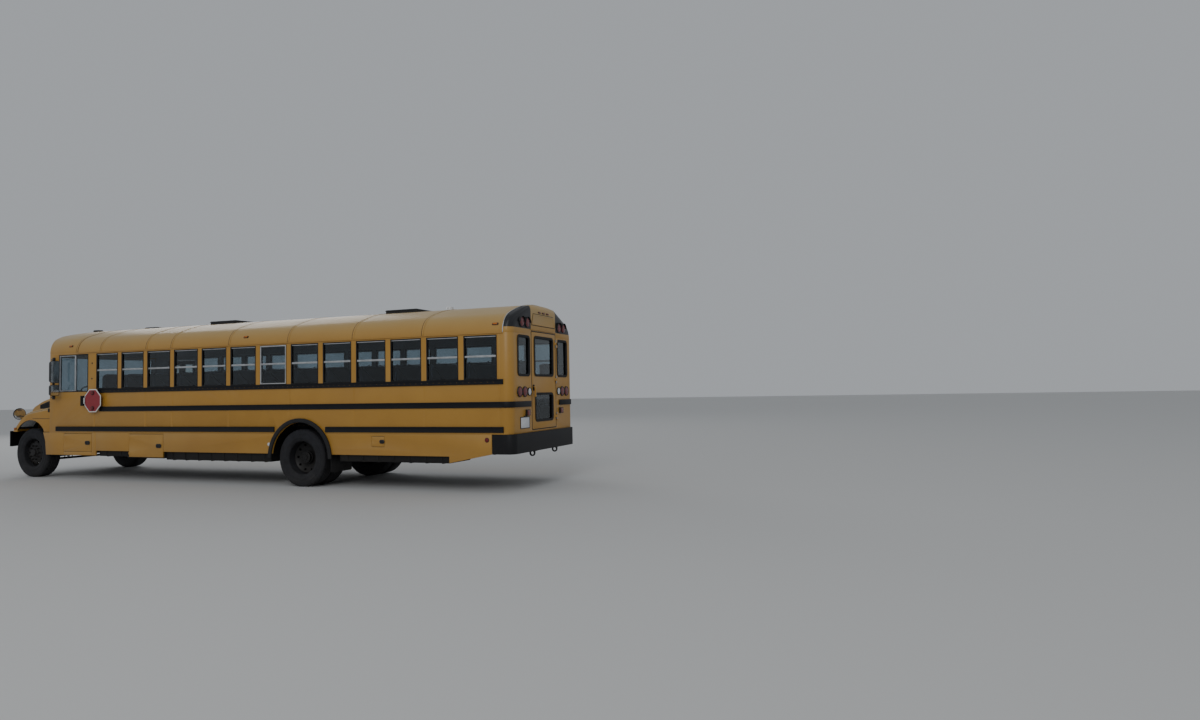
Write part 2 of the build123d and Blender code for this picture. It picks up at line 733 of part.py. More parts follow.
with BuildPart() as bay_brackets:
    for rear_x, front_x, low_z in bays:
        middle = (rear_x + front_x) / 2
        add(block((middle - bay_bracket_half, middle + bay_bracket_half), (rail_outer_y, bay_inner_y),
                  bay_bracket_z_range))
save_joined([bay_ends, bay_decks, bay_backs, bay_brackets], "equipment_bays")

pack_front_end_x = rear_axle_x - 820
pack_rear_end_x = rear_axle_x + 678
# Columns: side, rear X, front X, low Z of each pack
packs = [
    (1, mid_door_front_x + 70, pack_split_x - 40, 463),
    (1, pack_rear_end_x, mid_door_rear_x - 30, 420),
    (1, tail_corner_x + 10, pack_front_end_x, 456),
    (-1, mid_door_front_x + 70, pack_split_x - 40, 463),
    (-1, pack_rear_end_x, mid_door_front_x, 420),
    (-1, tail_corner_x + 10, pack_front_end_x, 456),
]
with BuildPart() as battery_packs:
    for side, rear_x, front_x, low_z in packs:
        add(block((rear_x, front_x), (side * pack_inner_y, side * pack_outer_y), (low_z, pack_top_z)))
        add(block((rear_x + 200, rear_x + 320), (side * rail_outer_y, side * pack_inner_y), (660, 800)))
        add(block((front_x - 320, front_x - 200), (side * rail_outer_y, side * pack_inner_y), (660, 800)))
save(battery_packs, "battery_packs")

# Rub rails: three black mouldings along each side, the middle one round the tail
rub_rail_depth = 20
flare_radius = 690
flare_depth = 30
middle_rail_z = 1343
middle_rail_top_z = 1436
# Distance from the middle at which the middle rail ends beside the rear door
tail_rail_left_y = 540
tail_rail_right_y = 610


def tail_plan(outset):
    # Plan of the tail with its rounded corners, grown outwards
    radius = tail_radius + outset
    side = half_width + outset
    rear = tail_x - outset
    bend = radius * (1 - sqrt(0.5))
    with BuildSketch() as plan:
        with BuildLine():
            Polyline((rear + radius, side), (tail_front_x, side), (tail_front_x, -side), (rear + radius, -side))
            ThreePointArc((rear + radius, -side), (rear + bend, bend - side), (rear, radius - side))
            Line((rear, radius - side), (rear, side - radius))
            ThreePointArc((rear, side - radius), (rear + bend, side - bend), (rear + radius, side))
        make_face()
    return plan.sketch


# Columns: rear X, front X, low Z, high Z of the rails on the left side
rub_rails_left = [
    (tail_x + tail_radius, first_window_x - 60, 1710, 1790),
    (tail_front_x, first_window_x - 110, middle_rail_z, middle_rail_top_z),
    (tail_x + tail_radius, rear_axle_x - 420, 952, 1045),
    (rear_axle_x + 420, driver_window_front_x + 60, 952, 1045),
]
with BuildPart() as rub_rails:
    for rear_x, front_x, low_z, high_z in rub_rails_left:
        for side in (-1, 1):
            front = front_x if side > 0 else min(front_x, entry_rear_x - 20)
            add(block((rear_x, front), (side * half_width, side * (half_width + rub_rail_depth)), (low_z, high_z)))
    with BuildSketch(upright(body_width)):
        with Locations((rear_axle_x, axle_z)):
            RegularPolygon(flare_radius, arch_sides, major_radius=False)
    extrude(amount=2 * body_width, mode=Mode.SUBTRACT)
    with BuildSketch(Plane.XY.offset(middle_rail_z)):
        add(tail_plan(rub_rail_depth))
        add(tail_plan(0), mode=Mode.SUBTRACT)
        with Locations((tail_x, (tail_rail_left_y - tail_rail_right_y) / 2)):
            Rectangle(tail_radius, tail_rail_left_y + tail_rail_right_y, mode=Mode.SUBTRACT)
    extrude(amount=middle_rail_top_z - middle_rail_z)
save(rub_rails, "rub_rails")

# Black flares round the rear wheel arches
with BuildPart() as wheel_flares:
    for side in (-1, 1):
        with BuildSketch(upright(side * half_width)):
            with Locations((rear_axle_x, axle_z)):
                RegularPolygon(flare_radius, arch_sides, major_radius=False)
                RegularPolygon(arch_radius, arch_sides, major_radius=False, mode=Mode.SUBTRACT)
            with Locations((rear_axle_x, axle_z + flare_radius / 2)):
                Rectangle(2 * flare_radius, flare_radius, mode=Mode.INTERSECT)
        extrude(amount=-side * flare_depth)
save(wheel_flares, "wheel_flares")

# Hood: a tilting shell of nose and two fenders, open below, with the wheel arches cut
hood_skin = 25
hood_gap = 10
fender_inner_y = 620
nose_half_rear = 850
nose_half_front = 740
nose_top_rear_z = 1700
nose_top_front_z = 1470
nose_front_x = front_axle_x + 745
fender_front_x = front_axle_x + 536
fender_half = half_width - 19
hood_low_z = 935
front_plan_radius = 3550
fender_edge = 55
nose_fall = 0.1
shoulder_fall = 170
shoulder_run = 130
grille_half = 460
grille_low_z = 1030
grille_high_z = 1400
lamp_inner_y = 850
lamp_outer_y = 1100
lamp_low_z = 1030
lamp_high_z = 1230


def nose_solid(inset):
    # Centre of the hood: a side profile cut to a tapered plan with a curved front, and sloped shoulders
    low_z = hood_low_z - inset * 4
    rear_x = cowl_x - 200
    with BuildPart() as solid:
        with BuildSketch(upright(nose_half_rear)):
            with BuildLine():
                top_start = (rear_x, nose_top_rear_z - inset)
                top_end = (nose_front_x - 240 - inset, nose_top_front_z - inset)
                face_top = (nose_front_x - inset, nose_top_front_z - 340 - inset)
                Line((rear_x, low_z), top_start)
                ThreePointArc(top_start, (front_axle_x, nose_top_rear_z - 65 - inset), top_end)
                ThreePointArc(top_end, (nose_front_x - 55 - inset, nose_top_front_z - 130 - inset), face_top)
                Polyline(face_top, (nose_front_x - inset, low_z), (rear_x, low_z))
            make_face()
        extrude(amount=2 * nose_half_rear)
        with BuildSketch(Plane.XY.offset(low_z)):
            with BuildLine():
                side_rear, side_front = nose_half_rear - inset, nose_half_front - inset
                tip = nose_front_x - inset - (front_plan_radius - sqrt(front_plan_radius**2 - side_front**2))
                Polyline((tip, -side_front), (rear_x, -side_rear), (rear_x, side_rear), (tip, side_front))
                ThreePointArc((tip, side_front), (nose_front_x - inset, 0), (tip, -side_front))
            make_face()
        extrude(amount=roof_height, mode=Mode.INTERSECT)
        along = Plane(origin=(rear_x, 0, nose_top_rear_z), x_dir=(0, 1, 0), z_dir=(1, 0, -nose_fall))
        with BuildSketch(along):
            with BuildLine():
                wide, top = nose_half_rear, 60 - inset
                Polyline((-wide, -roof_height), (wide, -roof_height), (wide, -shoulder_fall - inset),
                         (wide - shoulder_run - inset, top), (shoulder_run + inset - wide, top),
                         (-wide, -shoulder_fall - inset), close=True)
            make_face()
        extrude(amount=wheelbase, mode=Mode.INTERSECT)
    return solid.part


def fender_solid(side, inset):
    # One fender: its side profile in straight runs down to the bumper, with a rounded outer edge
    low_z = hood_low_z - inset * 4
    with BuildPart() as solid:
        with BuildSketch(upright(side * (fender_inner_y + inset))):
            with BuildLine():
                Polyline((fender_front_x - inset, 985), (fender_front_x - inset, low_z), (cowl_x, low_z),
                         (cowl_x, 1445 - inset), (front_axle_x + 65, 1352 - inset),
                         (front_axle_x + 225 - inset * 0.3, 1300 - inset * 0.9),
                         (front_axle_x + 365 - inset * 0.7, 1202 - inset * 0.7),
                         (front_axle_x + 480 - inset * 0.9, 1085 - inset * 0.3), close=True)
            make_face()
        extrude(amount=-side * (fender_half - fender_inner_y - 2 * inset))
        if inset <= 0:
            crown = solid.faces().sort_by(Axis.Y)[-1 if side > 0 else 0].edges().filter_by(
                lambda edge: edge.center().Z > 1000 and edge.bounding_box().size.X > 100)
            chamfer(crown, fender_edge)
    return solid.part


def arch_cut(side):
    # Opening round a steered wheel, wider than the tyre at full lock
    with BuildPart() as cut:
        with BuildSketch(upright(side * 560)):
            with BuildLine():
                Polyline((front_axle_x - 383, 993), (front_axle_x - 471, 759), (front_axle_x - 521, 300),
                         (front_axle_x + 416, 300), (front_axle_x + 416, 965))
                ThreePointArc((front_axle_x + 416, 965), (front_axle_x - 50, 1172), (front_axle_x - 383, 993))
            make_face()
        extrude(amount=-side * half_width)
    return cut.part


lamp_range = (front_axle_x + 280, front_axle_x + 600)

with BuildPart() as hood_shell:
    add(nose_solid(0))
    add(fender_solid(1, 0))
    add(fender_solid(-1, 0))
    add(nose_solid(hood_skin), mode=Mode.SUBTRACT)
    with BuildPart(mode=Mode.PRIVATE) as cavity:
        add(fender_solid(1, hood_skin))
        add(fender_solid(-1, hood_skin))
        add(block((front_axle_x - 590, fender_front_x - hood_skin), (-nose_half_front, nose_half_front),
                  (0, 1240)))
    add(cavity.part, mode=Mode.SUBTRACT)
    for side in (-1, 1):
        add(arch_cut(side), mode=Mode.SUBTRACT)
        add(block(lamp_range, (side * lamp_inner_y, side * lamp_outer_y), (lamp_low_z, lamp_high_z)),
            mode=Mode.SUBTRACT)
    add(block((fender_front_x, front_face_x), (-grille_half, grille_half), (grille_low_z, grille_high_z)),
        mode=Mode.SUBTRACT)
    with BuildSketch():
        with Locations((nose_centre_x, 0)):
            Circle(nose_radius + hood_gap)
    extrude(amount=roof_height, mode=Mode.SUBTRACT)
    for side in (-1, 1):
        with BuildSketch(upright(side * (hood_pivot_y - hood_ear / 2))):
            with Locations((hood_pivot_x, hood_pivot_z)):
                RegularPolygon(hood_ear, 12, major_radius=False)
            with Locations(((hood_pivot_x + nose_front_x - 35) / 2, hood_pivot_z)):
                Rectangle(hood_pivot_x - nose_front_x + 35, hood_ear)
            with Locations((hood_pivot_x, hood_pivot_z)):
                Circle(hood_pin_radius + running_gap, mode=Mode.SUBTRACT)
        extrude(amount=-side * hood_ear)
save(hood_shell, "hood_shell")

# Grille: a curved frame with level bars, set into the opening in the hood's front
grille_bar = 16
grille_bar_count = 6
grille_setback = 6

with BuildPart() as hood_grille:
    add(nose_solid(grille_setback))
    add(nose_solid(hood_skin), mode=Mode.SUBTRACT)
    with BuildSketch(Plane.YZ.offset(fender_front_x)):
        with Locations((0, (grille_low_z + grille_high_z) / 2)):
            Rectangle(2 * grille_half, grille_high_z - grille_low_z)
            Rectangle(2 * (grille_half - 2 * grille_bar), grille_high_z - grille_low_z - 4 * grille_bar,
                      mode=Mode.SUBTRACT)
        step = (grille_high_z - grille_low_z) / (grille_bar_count + 1)
        with Locations([(0, grille_low_z + step * (i + 1)) for i in range(grille_bar_count)]):
            Rectangle(2 * grille_half, grille_bar)
    extrude(amount=front_face_x - fender_front_x, mode=Mode.INTERSECT)
save(hood_grille, "hood_grille")

# Headlamps: each follows the fender's skin and stands a little proud of it
lamp_proud = 8
lamp_depth = 60
with BuildPart() as headlamps:
    for side in (-1, 1):
        with BuildPart(mode=Mode.PRIVATE) as lamp:
            add(fender_solid(side, -lamp_proud))
            add(fender_solid(side, lamp_depth), mode=Mode.SUBTRACT)
            add(block(lamp_range, (side * lamp_inner_y, side * lamp_outer_y), (lamp_low_z, lamp_high_z)),
                mode=Mode.INTERSECT)
        add(lamp.part)
save(headlamps, "headlamps")

# Turn signals: a small lamp on the outer side of each fender
signal_range = (front_axle_x + 440, front_axle_x + 510)
signal_low_z = 975
signal_height = 45
signal_depth = 15
with BuildPart() as turn_signals:
    for side in (-1, 1):
        add(block(signal_range, (side * fender_half, side * (fender_half + signal_depth)),
                  (signal_low_z, signal_low_z + signal_height)))
save(turn_signals, "turn_signals")

# Glass in the body: side panes in pairs, the driver's window, rear windows and a curved windshield
glass_y = half_width - 20
sash_z = (window_low_z + window_high_z) / 2 + 20


def side_panes(side, count):
    low_height = sash_z - sash_height / 2 - window_low_z
    high_height = window_high_z - sash_z - sash_height / 2
    with BuildPart() as panes:
        with BuildSketch(upright(side * (glass_y - glass_thickness))):
            for centre_x in window_centres()[:count]:
                with Locations((centre_x, window_low_z + low_height / 2)):
                    Rectangle(window_width, low_height)
                with Locations((centre_x, window_high_z - high_height / 2)):
                    Rectangle(window_width, high_height)
        extrude(amount=-side * glass_thickness)
    return panes.part


with BuildPart() as body_glass:
    add(side_panes(1, window_count))
    add(side_panes(-1, window_count))
    for rear_x, front_x in ((driver_window_front_x - driver_window_width, driver_divider_x - sash_height / 2),
                            (driver_divider_x + sash_height / 2, driver_window_front_x)):
        add(block((rear_x, front_x), (glass_y - glass_thickness, glass_y), (driver_window_low_z, driver_window_high_z)))
    for side in (-1, 1):
        y_range = (side * rear_window_y - rear_window_width / 2, side * rear_window_y + rear_window_width / 2)
        add(block((tail_x + wall / 2, tail_x + wall / 2 + glass_thickness), y_range,
                  (rear_window_low_z, rear_window_low_z + rear_window_height)))
    with BuildPart(mode=Mode.PRIVATE) as windshield:
        add(nose_band(wall / 2, wall / 2 + glass_thickness, windshield_low_z, windshield_high_z))
        add(block((nose_centre_x, nose_x), (windshield_post / 2, windshield_side_y), (0, roof_height)),
            mode=Mode.INTERSECT)
    add(windshield.part)
    add(mirror(windshield.part, about=Plane.XZ))
save(body_glass, "body_glass")

# Window sashes: the level bar between the two panes of each side window, and the driver's divider
sash_depth = 26
with BuildPart() as window_sashes:
    for side in (-1, 1):
        with BuildSketch(upright(side * (half_width - 4 - sash_depth))):
            with Locations([(centre_x, sash_z) for centre_x in window_centres()]):
                Rectangle(window_width, sash_height)
            if side > 0:
                with Locations((driver_divider_x, (driver_window_low_z + driver_window_high_z) / 2)):
                    Rectangle(sash_height, driver_window_high_z - driver_window_low_z)
        extrude(amount=-side * sash_depth)
save(window_sashes, "window_sashes")

# Passenger seats: bench cushions and tall padded backs in rows at the window pitch
seat_width = 990
cushion_length = 400
cushion_low_z = floor_top_z + 350
cushion_height = 110
back_thickness = 90
back_height = 720
seat_wall_gap = 12
seat_y = inner_half - seat_wall_gap - seat_width / 2
leg_width = 40
row_xs = [first_window_x - window_pitch * (i + 1) + 40 for i in range(window_count)]

with BuildPart() as seat_cushions:
    with BuildSketch(Plane.XY.offset(cushion_low_z)):
        with Locations([(x + cushion_length / 2, side * seat_y) for x in row_xs for side in (-1, 1)]):
            Rectangle(cushion_length, seat_width)
    extrude(amount=cushion_height)
save(seat_cushions, "seat_cushions")

with BuildPart() as seat_backs:
    with BuildSketch(Plane.XY.offset(cushion_low_z)):
        with Locations([(x - back_thickness / 2, side * seat_y) for x in row_xs for side in (-1, 1)]):
            Rectangle(back_thickness, seat_width - 60)
    extrude(amount=back_height)
save(seat_backs, "seat_backs")

with BuildPart() as seat_frames:
    aisle_y = seat_y - seat_width / 2 + 120
    with BuildSketch(Plane.XY.offset(floor_top_z)):
        with Locations([(x + cushion_length / 2, side * aisle_y) for x in row_xs for side in (-1, 1)]):
            Rectangle(cushion_length - 100, leg_width)
    extrude(amount=cushion_low_z - floor_top_z)
save(seat_frames, "seat_frames")

# Driver's seat, dashboard and steering wheel
driver_x = driver_window_front_x - 560
driver_y = 640
with BuildPart() as driver_seat:
    add(block((driver_x - 130, driver_x + 130), (driver_y - 130, driver_y + 130), (floor_top_z, floor_top_z + 330)))
    add(block((driver_x - 240, driver_x + 240), (driver_y - 250, driver_y + 250),
              (floor_top_z + 330, floor_top_z + 440)))
    add(block((driver_x - 320, driver_x - 210), (driver_y - 240, driver_y + 240),
              (floor_top_z + 330, floor_top_z + 1090)))
save(driver_seat, "driver_seat")

dash_depth = 330
with BuildPart() as dashboard:
    with BuildSketch(Plane.XY.offset(floor_top_z + 250)):
        with Locations((nose_centre_x, 0)):
            Circle(front_cavity_radius)
            Circle(front_cavity_radius - dash_depth, mode=Mode.SUBTRACT)
        with Locations((nose_centre_x + front_cavity_radius, 150)):
            Rectangle(3 * dash_depth, 2 * inner_half - 340, mode=Mode.INTERSECT)
    extrude(amount=windshield_low_z - floor_top_z - 300)
save(dashboard, "dashboard")

wheel_tilt = 35
wheel_rim_radius = 225
wheel_centre = (driver_x + 420, driver_y, floor_top_z + 680)
column_axis = Vector(cos(radians(wheel_tilt)), 0, -sin(radians(wheel_tilt)))
with BuildPart() as steering_wheel:
    wheel_plane = Plane(origin=wheel_centre, x_dir=(0, 1, 0), z_dir=column_axis)
    with BuildSketch(wheel_plane.offset(-14)):
        RegularPolygon(wheel_rim_radius, 24)
        RegularPolygon(wheel_rim_radius - 28, 24, mode=Mode.SUBTRACT)
        Rectangle(2 * wheel_rim_radius - 30, 40)
        RegularPolygon(45, 8)
    extrude(amount=28)
    with BuildSketch(wheel_plane):
        RegularPolygon(32, 8)
    extrude(until=Until.NEXT, target=dashboard.part)
save(steering_wheel, "steering_wheel")

# Front axle: a dropped beam between the kingpin bosses
beam_half_length = 640
beam_width = 90
beam_low_z = 385
beam_high_z = 475
boss_radius = 45
boss_half = 70
with BuildPart() as front_axle:
    with BuildSketch(Plane.YZ.offset(front_axle_x - beam_width / 2)):
        with BuildLine():
            Polyline((-beam_half_length, beam_low_z), (beam_half_length, beam_low_z),
                     (kingpin_y, axle_z - boss_half + 20), (kingpin_y, axle_z + boss_half - 20),
                     (beam_half_length, beam_high_z), (-beam_half_length, beam_high_z),
                     (-kingpin_y, axle_z + boss_half - 20), (-kingpin_y, axle_z - boss_half + 20), close=True)
        make_face()
    extrude(amount=beam_width)
    for side in (-1, 1):
        add(bar((front_axle_x, side * kingpin_y, axle_z - boss_half),
                (front_axle_x, side * kingpin_y, axle_z + boss_half), boss_radius))
save(front_axle, "front_axle")

# Knuckles: a yoke round the kingpin boss, the stub axle and the steering arm
yoke_gap = 5
yoke_arm = 42
yoke_plate_y = 965
yoke_plate = 28
steering_arm_length = 250
steering_arm_inset = 105
steering_arm_z = axle_z - boss_half - yoke_gap - yoke_arm
ball_radius = 24
hub_inner_y = front_track_half - 30
tie_rod_radius = 20


def knuckle(side):
    low = axle_z - boss_half - yoke_gap
    high = axle_z + boss_half + yoke_gap
    arm_end = (front_axle_x - steering_arm_length, side * (kingpin_y - steering_arm_inset))
    with BuildPart() as part:
        for z in (low - yoke_arm, high):
            with BuildSketch(Plane.XY.offset(z)):
                with Locations((front_axle_x, side * kingpin_y)):
                    RegularPolygon(boss_radius, 8, major_radius=False)
                with Locations((front_axle_x, side * (kingpin_y + yoke_plate_y + yoke_plate) / 2)):
                    Rectangle(1.6 * boss_radius, yoke_plate_y + yoke_plate - kingpin_y)
            extrude(amount=yoke_arm)
        add(block((front_axle_x - 50, front_axle_x + 50), (side * yoke_plate_y, side * (yoke_plate_y + yoke_plate)),
                  (low - yoke_arm, high + yoke_arm)))
        add(bar((front_axle_x, side * yoke_plate_y, axle_z), (front_axle_x, side * (front_track_half + 80), axle_z),
                spindle_radius))
        with BuildSketch(Plane.XY.offset(steering_arm_z)):
            with BuildLine():
                Polyline((front_axle_x - 20, side * (kingpin_y - 25)), (front_axle_x - 20, side * (kingpin_y + 25)),
                         (arm_end[0], arm_end[1] + side * 18), (arm_end[0], arm_end[1] - side * 18), close=True)
            make_face()
            with Locations(arm_end):
                RegularPolygon(ball_radius, 8)
        extrude(amount=24)
    return part.part


for name, side in (("left", 1), ("right", -1)):
    with BuildPart() as arm:
        add(knuckle(side))
    save(arm, "knuckle_" + name)

# Tie rod between the two steering arms
tie_rod_z = steering_arm_z - 26
tie_rod_x = front_axle_x - steering_arm_length
tie_rod_half = kingpin_y - steering_arm_inset
with BuildPart() as tie_rod:
    add(rod((tie_rod_x, -tie_rod_half, tie_rod_z), (tie_rod_x, tie_rod_half, tie_rod_z), tie_rod_radius))
    for side in (-1, 1):
        add(rod((tie_rod_x, side * tie_rod_half, tie_rod_z - 22), (tie_rod_x, side * tie_rod_half, tie_rod_z + 22),
                ball_radius + 6))
save(tie_rod, "tie_rod")

# Rear axle: a straight tube with a differential, and a spindle through each pair of hubs
rear_tube_radius = 65
rear_tube_half = 560
differential_radius = 190
rear_spindle_half = dual_outer_y - 20
with BuildPart() as rear_axle:
    add(rod((rear_axle_x, -rear_tube_half, axle_z), (rear_axle_x, rear_tube_half, axle_z), rear_tube_radius, 16))
    add(bar((rear_axle_x, -rear_spindle_half, axle_z), (rear_axle_x, rear_spindle_half, axle_z),
            rear_spindle_radius))
    add(rod((rear_axle_x, -90, axle_z), (rear_axle_x, 90, axle_z), differential_radius, 16))
    add(rod((rear_axle_x, -200, axle_z), (rear_axle_x, 200, axle_z), 120, 12))
    add(rod((rear_axle_x, 0, axle_z), (rear_axle_x + 300, 0, axle_z), 80, 12))
save(rear_axle, "rear_axle")

# Leaf springs: one bowed pack on each side of each axle, with a hanger at each end
spring_width = 76
front_spring_y = 415
rear_spring_y = 480


def leaf_spring(axle_x, y, half_length, end_z, seat_z, thickness, hanger_z):
    with BuildPart() as spring:
        with BuildSketch(upright(y - spring_width / 2)):
            with BuildLine():
                ThreePointArc((axle_x - half_length, end_z), (axle_x, seat_z), (axle_x + half_length, end_z))
                Line((axle_x + half_length, end_z), (axle_x + half_length, end_z + 16))
                ThreePointArc((axle_x + half_length, end_z + 16), (axle_x, seat_z + thickness),
                              (axle_x - half_length, end_z + 16))
                Line((axle_x - half_length, end_z + 16), (axle_x - half_length, end_z))
            make_face()
            with Locations([(axle_x + s * half_length, (end_z + hanger_z) / 2) for s in (-1, 1)]):
                Rectangle(70, hanger_z - end_z)
        extrude(amount=-spring_width)
        add(block((axle_x - 60, axle_x + 60), (y - spring_width / 2, y + spring_width / 2), (seat_z - 20, seat_z + 30)))
    return spring.part


with BuildPart() as leaf_springs:
    for side in (-1, 1):
        add(leaf_spring(front_axle_x, side * front_spring_y, 650, rail_low_z - 50, beam_high_z, 70, rail_low_z))
        add(leaf_spring(rear_axle_x, side * rear_spring_y, 750, rail_low_z + 40, axle_z + rear_tube_radius, 80,
                        rail_low_z + 160))
        add(block((rear_axle_x + 720, rear_axle_x + 780), (side * rail_outer_y, side * rear_spring_y),
                  (rail_low_z + 60, rail_low_z + 150)))
        add(block((rear_axle_x - 780, rear_axle_x - 720), (side * rail_outer_y, side * rear_spring_y),
                  (rail_low_z + 60, rail_low_z + 150)))
    add(front_axle.part, mode=Mode.SUBTRACT)
    add(rear_axle.part, mode=Mode.SUBTRACT)
save(leaf_springs, "leaf_springs")

# Drive: a motor between the rails, its shaft to the rear axle, and the power unit under the hood
motor_rear_x, motor_front_x = -200, 650
motor_half = 280
with BuildPart() as drive_units:
    add(block((motor_rear_x, motor_front_x), (-motor_half, motor_half), (480, 800)))
    add(rod((rear_axle_x + 300, 0, axle_z + 10), (motor_rear_x, 0, axle_z + 10), 45))
    add(block((motor_rear_x + 100, motor_rear_x + 180), (-rail_outer_y + rail_gauge, rail_outer_y - rail_gauge),
              (640, 760)))
    add(block((front_axle_x - 180, front_axle_x + 480), (-330, 330), (rail_top_z, 1330)))
    add(block((front_axle_x - 180, front_axle_x - 100), (-rail_outer_y, rail_outer_y), (rail_top_z, 930)))
save(drive_units, "drive_units")

# Wheels: tyres with bevelled shoulders and dished rims, as many-sided rings that keep their facets few
tyre_sides = 48
rim_sides = 32
hub_sides = 16
shoulder_drop = 60
shoulder_width = 30


def ring(axle_x, y, height, outer, inner=0, outer_sides=rim_sides, inner_sides=rim_sides):
    # A ring about an axle, from Y over a height, given its two radii and how many sides they have
    with BuildPart() as made:
        with BuildSketch(Plane(origin=(axle_x, y, axle_z), x_dir=(1, 0, 0), z_dir=(0, 1, 0))):
            RegularPolygon(outer, outer_sides, major_radius=False, rotation=90 - 180 / outer_sides)
            if inner:
                RegularPolygon(inner, inner_sides, major_radius=False, rotation=90 - 180 / inner_sides,
                               mode=Mode.SUBTRACT)
        extrude(amount=height)
    return made.part


def tyre(centre_y, axle_x):
    with BuildPart() as made:
        add(ring(axle_x, centre_y - tyre_width / 2, tyre_width, tyre_radius, outer_sides=tyre_sides))
        for face in (made.faces().sort_by(Axis.Y)[0], made.faces().sort_by(Axis.Y)[-1]):
            chamfer(face.edges(), shoulder_width, shoulder_drop, reference=face)
        add(ring(axle_x, centre_y - tyre_width / 2, tyre_width, rim_radius), mode=Mode.SUBTRACT)
    return made.part


def rim_barrel(side, centre_y, axle_x, disc_y):
    # Rim of one tyre with its disc; disc_y is the disc's outer face, measured outwards from the rim's centre
    half = 115
    with BuildPart() as made:
        low = centre_y - half
        add(ring(axle_x, low, 2 * half, rim_radius, rim_radius - 22))
        disc = centre_y + side * disc_y
        add(ring(axle_x, min(disc, disc - side * 18), 18, rim_radius - 10))
    return made.part


def front_rim(side):
    y = side * front_track_half
    with BuildPart() as made:
        add(rim_barrel(side, y, front_axle_x, 70))
        hub_low, hub_high = y - side * 20, y + side * 125
        add(ring(front_axle_x, min(hub_low, hub_high), 145, 105, outer_sides=hub_sides))
        bore_end = y + side * 81
        add(bar((front_axle_x, hub_low, axle_z), (front_axle_x, bore_end, axle_z), spindle_radius + running_gap),
            mode=Mode.SUBTRACT)
    return made.part


def rear_rim(side):
    outer = side * dual_outer_y
    inner = side * (dual_outer_y - dual_spacing)
    with BuildPart() as made:
        add(rim_barrel(side, outer, rear_axle_x, -75))
        add(rim_barrel(side, inner, rear_axle_x, 90))
        hub_low, hub_high = inner - side * 100, outer + side * 60
        add(ring(rear_axle_x, min(hub_low, hub_high), abs(hub_high - hub_low), 110, outer_sides=hub_sides))
        add(ring(rear_axle_x, min(inner + side * 90, outer - side * 93), abs(outer - inner) - 183, 170,
                 outer_sides=hub_sides))
        add(bar((rear_axle_x, hub_low, axle_z), (rear_axle_x, outer - side * 19, axle_z),
                rear_spindle_radius + running_gap), mode=Mode.SUBTRACT)
    return made.part


for name, side in (("left", 1), ("right", -1)):
    with BuildPart() as front_tyre:
        add(tyre(side * front_track_half, front_axle_x))
    save(front_tyre, "front_tyre_" + name)
    with BuildPart() as front_disc:
        add(front_rim(side))
    save(front_disc, "front_rim_" + name)
    with BuildPart() as rear_tyres:
        add(tyre(side * dual_outer_y, rear_axle_x))
        add(tyre(side * (dual_outer_y - dual_spacing), rear_axle_x))
    save(rear_tyres, "rear_tyres_" + name)
    with BuildPart() as rear_discs:
        add(rear_rim(side))
    save(rear_discs, "rear_rims_" + name)

# Entry door: two leaves that swing outward about pins beside the opening
entry_rail = 60
entry_glass_low_z = entry_low_z + 420
entry_pin_y = -half_width - hinge_offset
entry_leaf = (entry_width - 2 * clearance - entry_meeting_gap) / 2
# Columns: name, the leaf's rear X, its pin's X, direction from the pin to the leaf
entry_leaves = [
    ("front", entry_front_x - clearance - entry_leaf, entry_front_x - clearance / 2, -1),
    ("rear", entry_rear_x + clearance, entry_rear_x + clearance / 2, 1),
]
for name, leaf_x, pin_x, direction in entry_leaves:
    y_range = (-half_width, -half_width + entry_leaf_thickness)
    # Columns: low Z and high Z of the two windows in a leaf
    panes = [(entry_low_z + 140, 1180), (1240, entry_high_z - 90)]
    with BuildPart() as leaf:
        add(block((leaf_x, leaf_x + entry_leaf), y_range, (entry_low_z + clearance, entry_high_z - clearance)))
        for low_z, high_z in panes:
            add(block((leaf_x + entry_rail, leaf_x + entry_leaf - entry_rail), y_range, (low_z, high_z)),
                mode=Mode.SUBTRACT)
        for height in (entry_low_z + 200, 1210, entry_high_z - 200):
            add(rod((pin_x, entry_pin_y, height - 40), (pin_x, entry_pin_y, height + 40), hinge_barrel_radius))
            add(block((pin_x, pin_x + direction * 40), (entry_pin_y, -half_width), (height - 40, height + 40)))
    save(leaf, "entry_door_" + name)
    with BuildPart() as glass:
        for low_z, high_z in panes:
            add(block((leaf_x + entry_rail, leaf_x + entry_leaf - entry_rail),
                      (-half_width + 15, -half_width + 15 + glass_thickness), (low_z, high_z)))
    save(glass, "entry_glass_" + name)

# Stop arm: a blank octagon folded flat beside the body, on a hinge box at its front edge
stop_width = 455
stop_centre_z = 1557
stop_y = half_width + 70
stop_pin_x = first_window_x + 265
stop_pin_y = stop_y
with BuildPart() as stop_arm:
    with BuildSketch(upright(stop_y - 4)):
        with Locations((stop_pin_x - 40 - stop_width / 2, stop_centre_z)):
            RegularPolygon(stop_width / 2, 8, major_radius=False, rotation=22.5)
        with Locations((stop_pin_x - 60, stop_centre_z)):
            Rectangle(120, 120)
    extrude(amount=-8)
    add(rod((stop_pin_x, stop_pin_y, stop_centre_z - 60), (stop_pin_x, stop_pin_y, stop_centre_z + 60), 12))
save(stop_arm, "stop_arm")

with BuildPart() as stop_arm_bracket:
    for z in (stop_centre_z - 100, stop_centre_z + 66):
        add(block((stop_pin_x - 20, stop_pin_x + 60), (half_width, stop_pin_y + 20), (z, z + 34)))
    add(block((stop_pin_x + 30, stop_pin_x + 60), (half_width, stop_pin_y + 20),
              (stop_centre_z - 100, stop_centre_z + 100)))
save(stop_arm_bracket, "stop_arm_bracket")

# Mirrors: flat and convex heads on arms beside the body, and domed ones ahead of the hood
mirror_x = entry_front_x + 55
mirror_y = 1385
mirror_half = 90
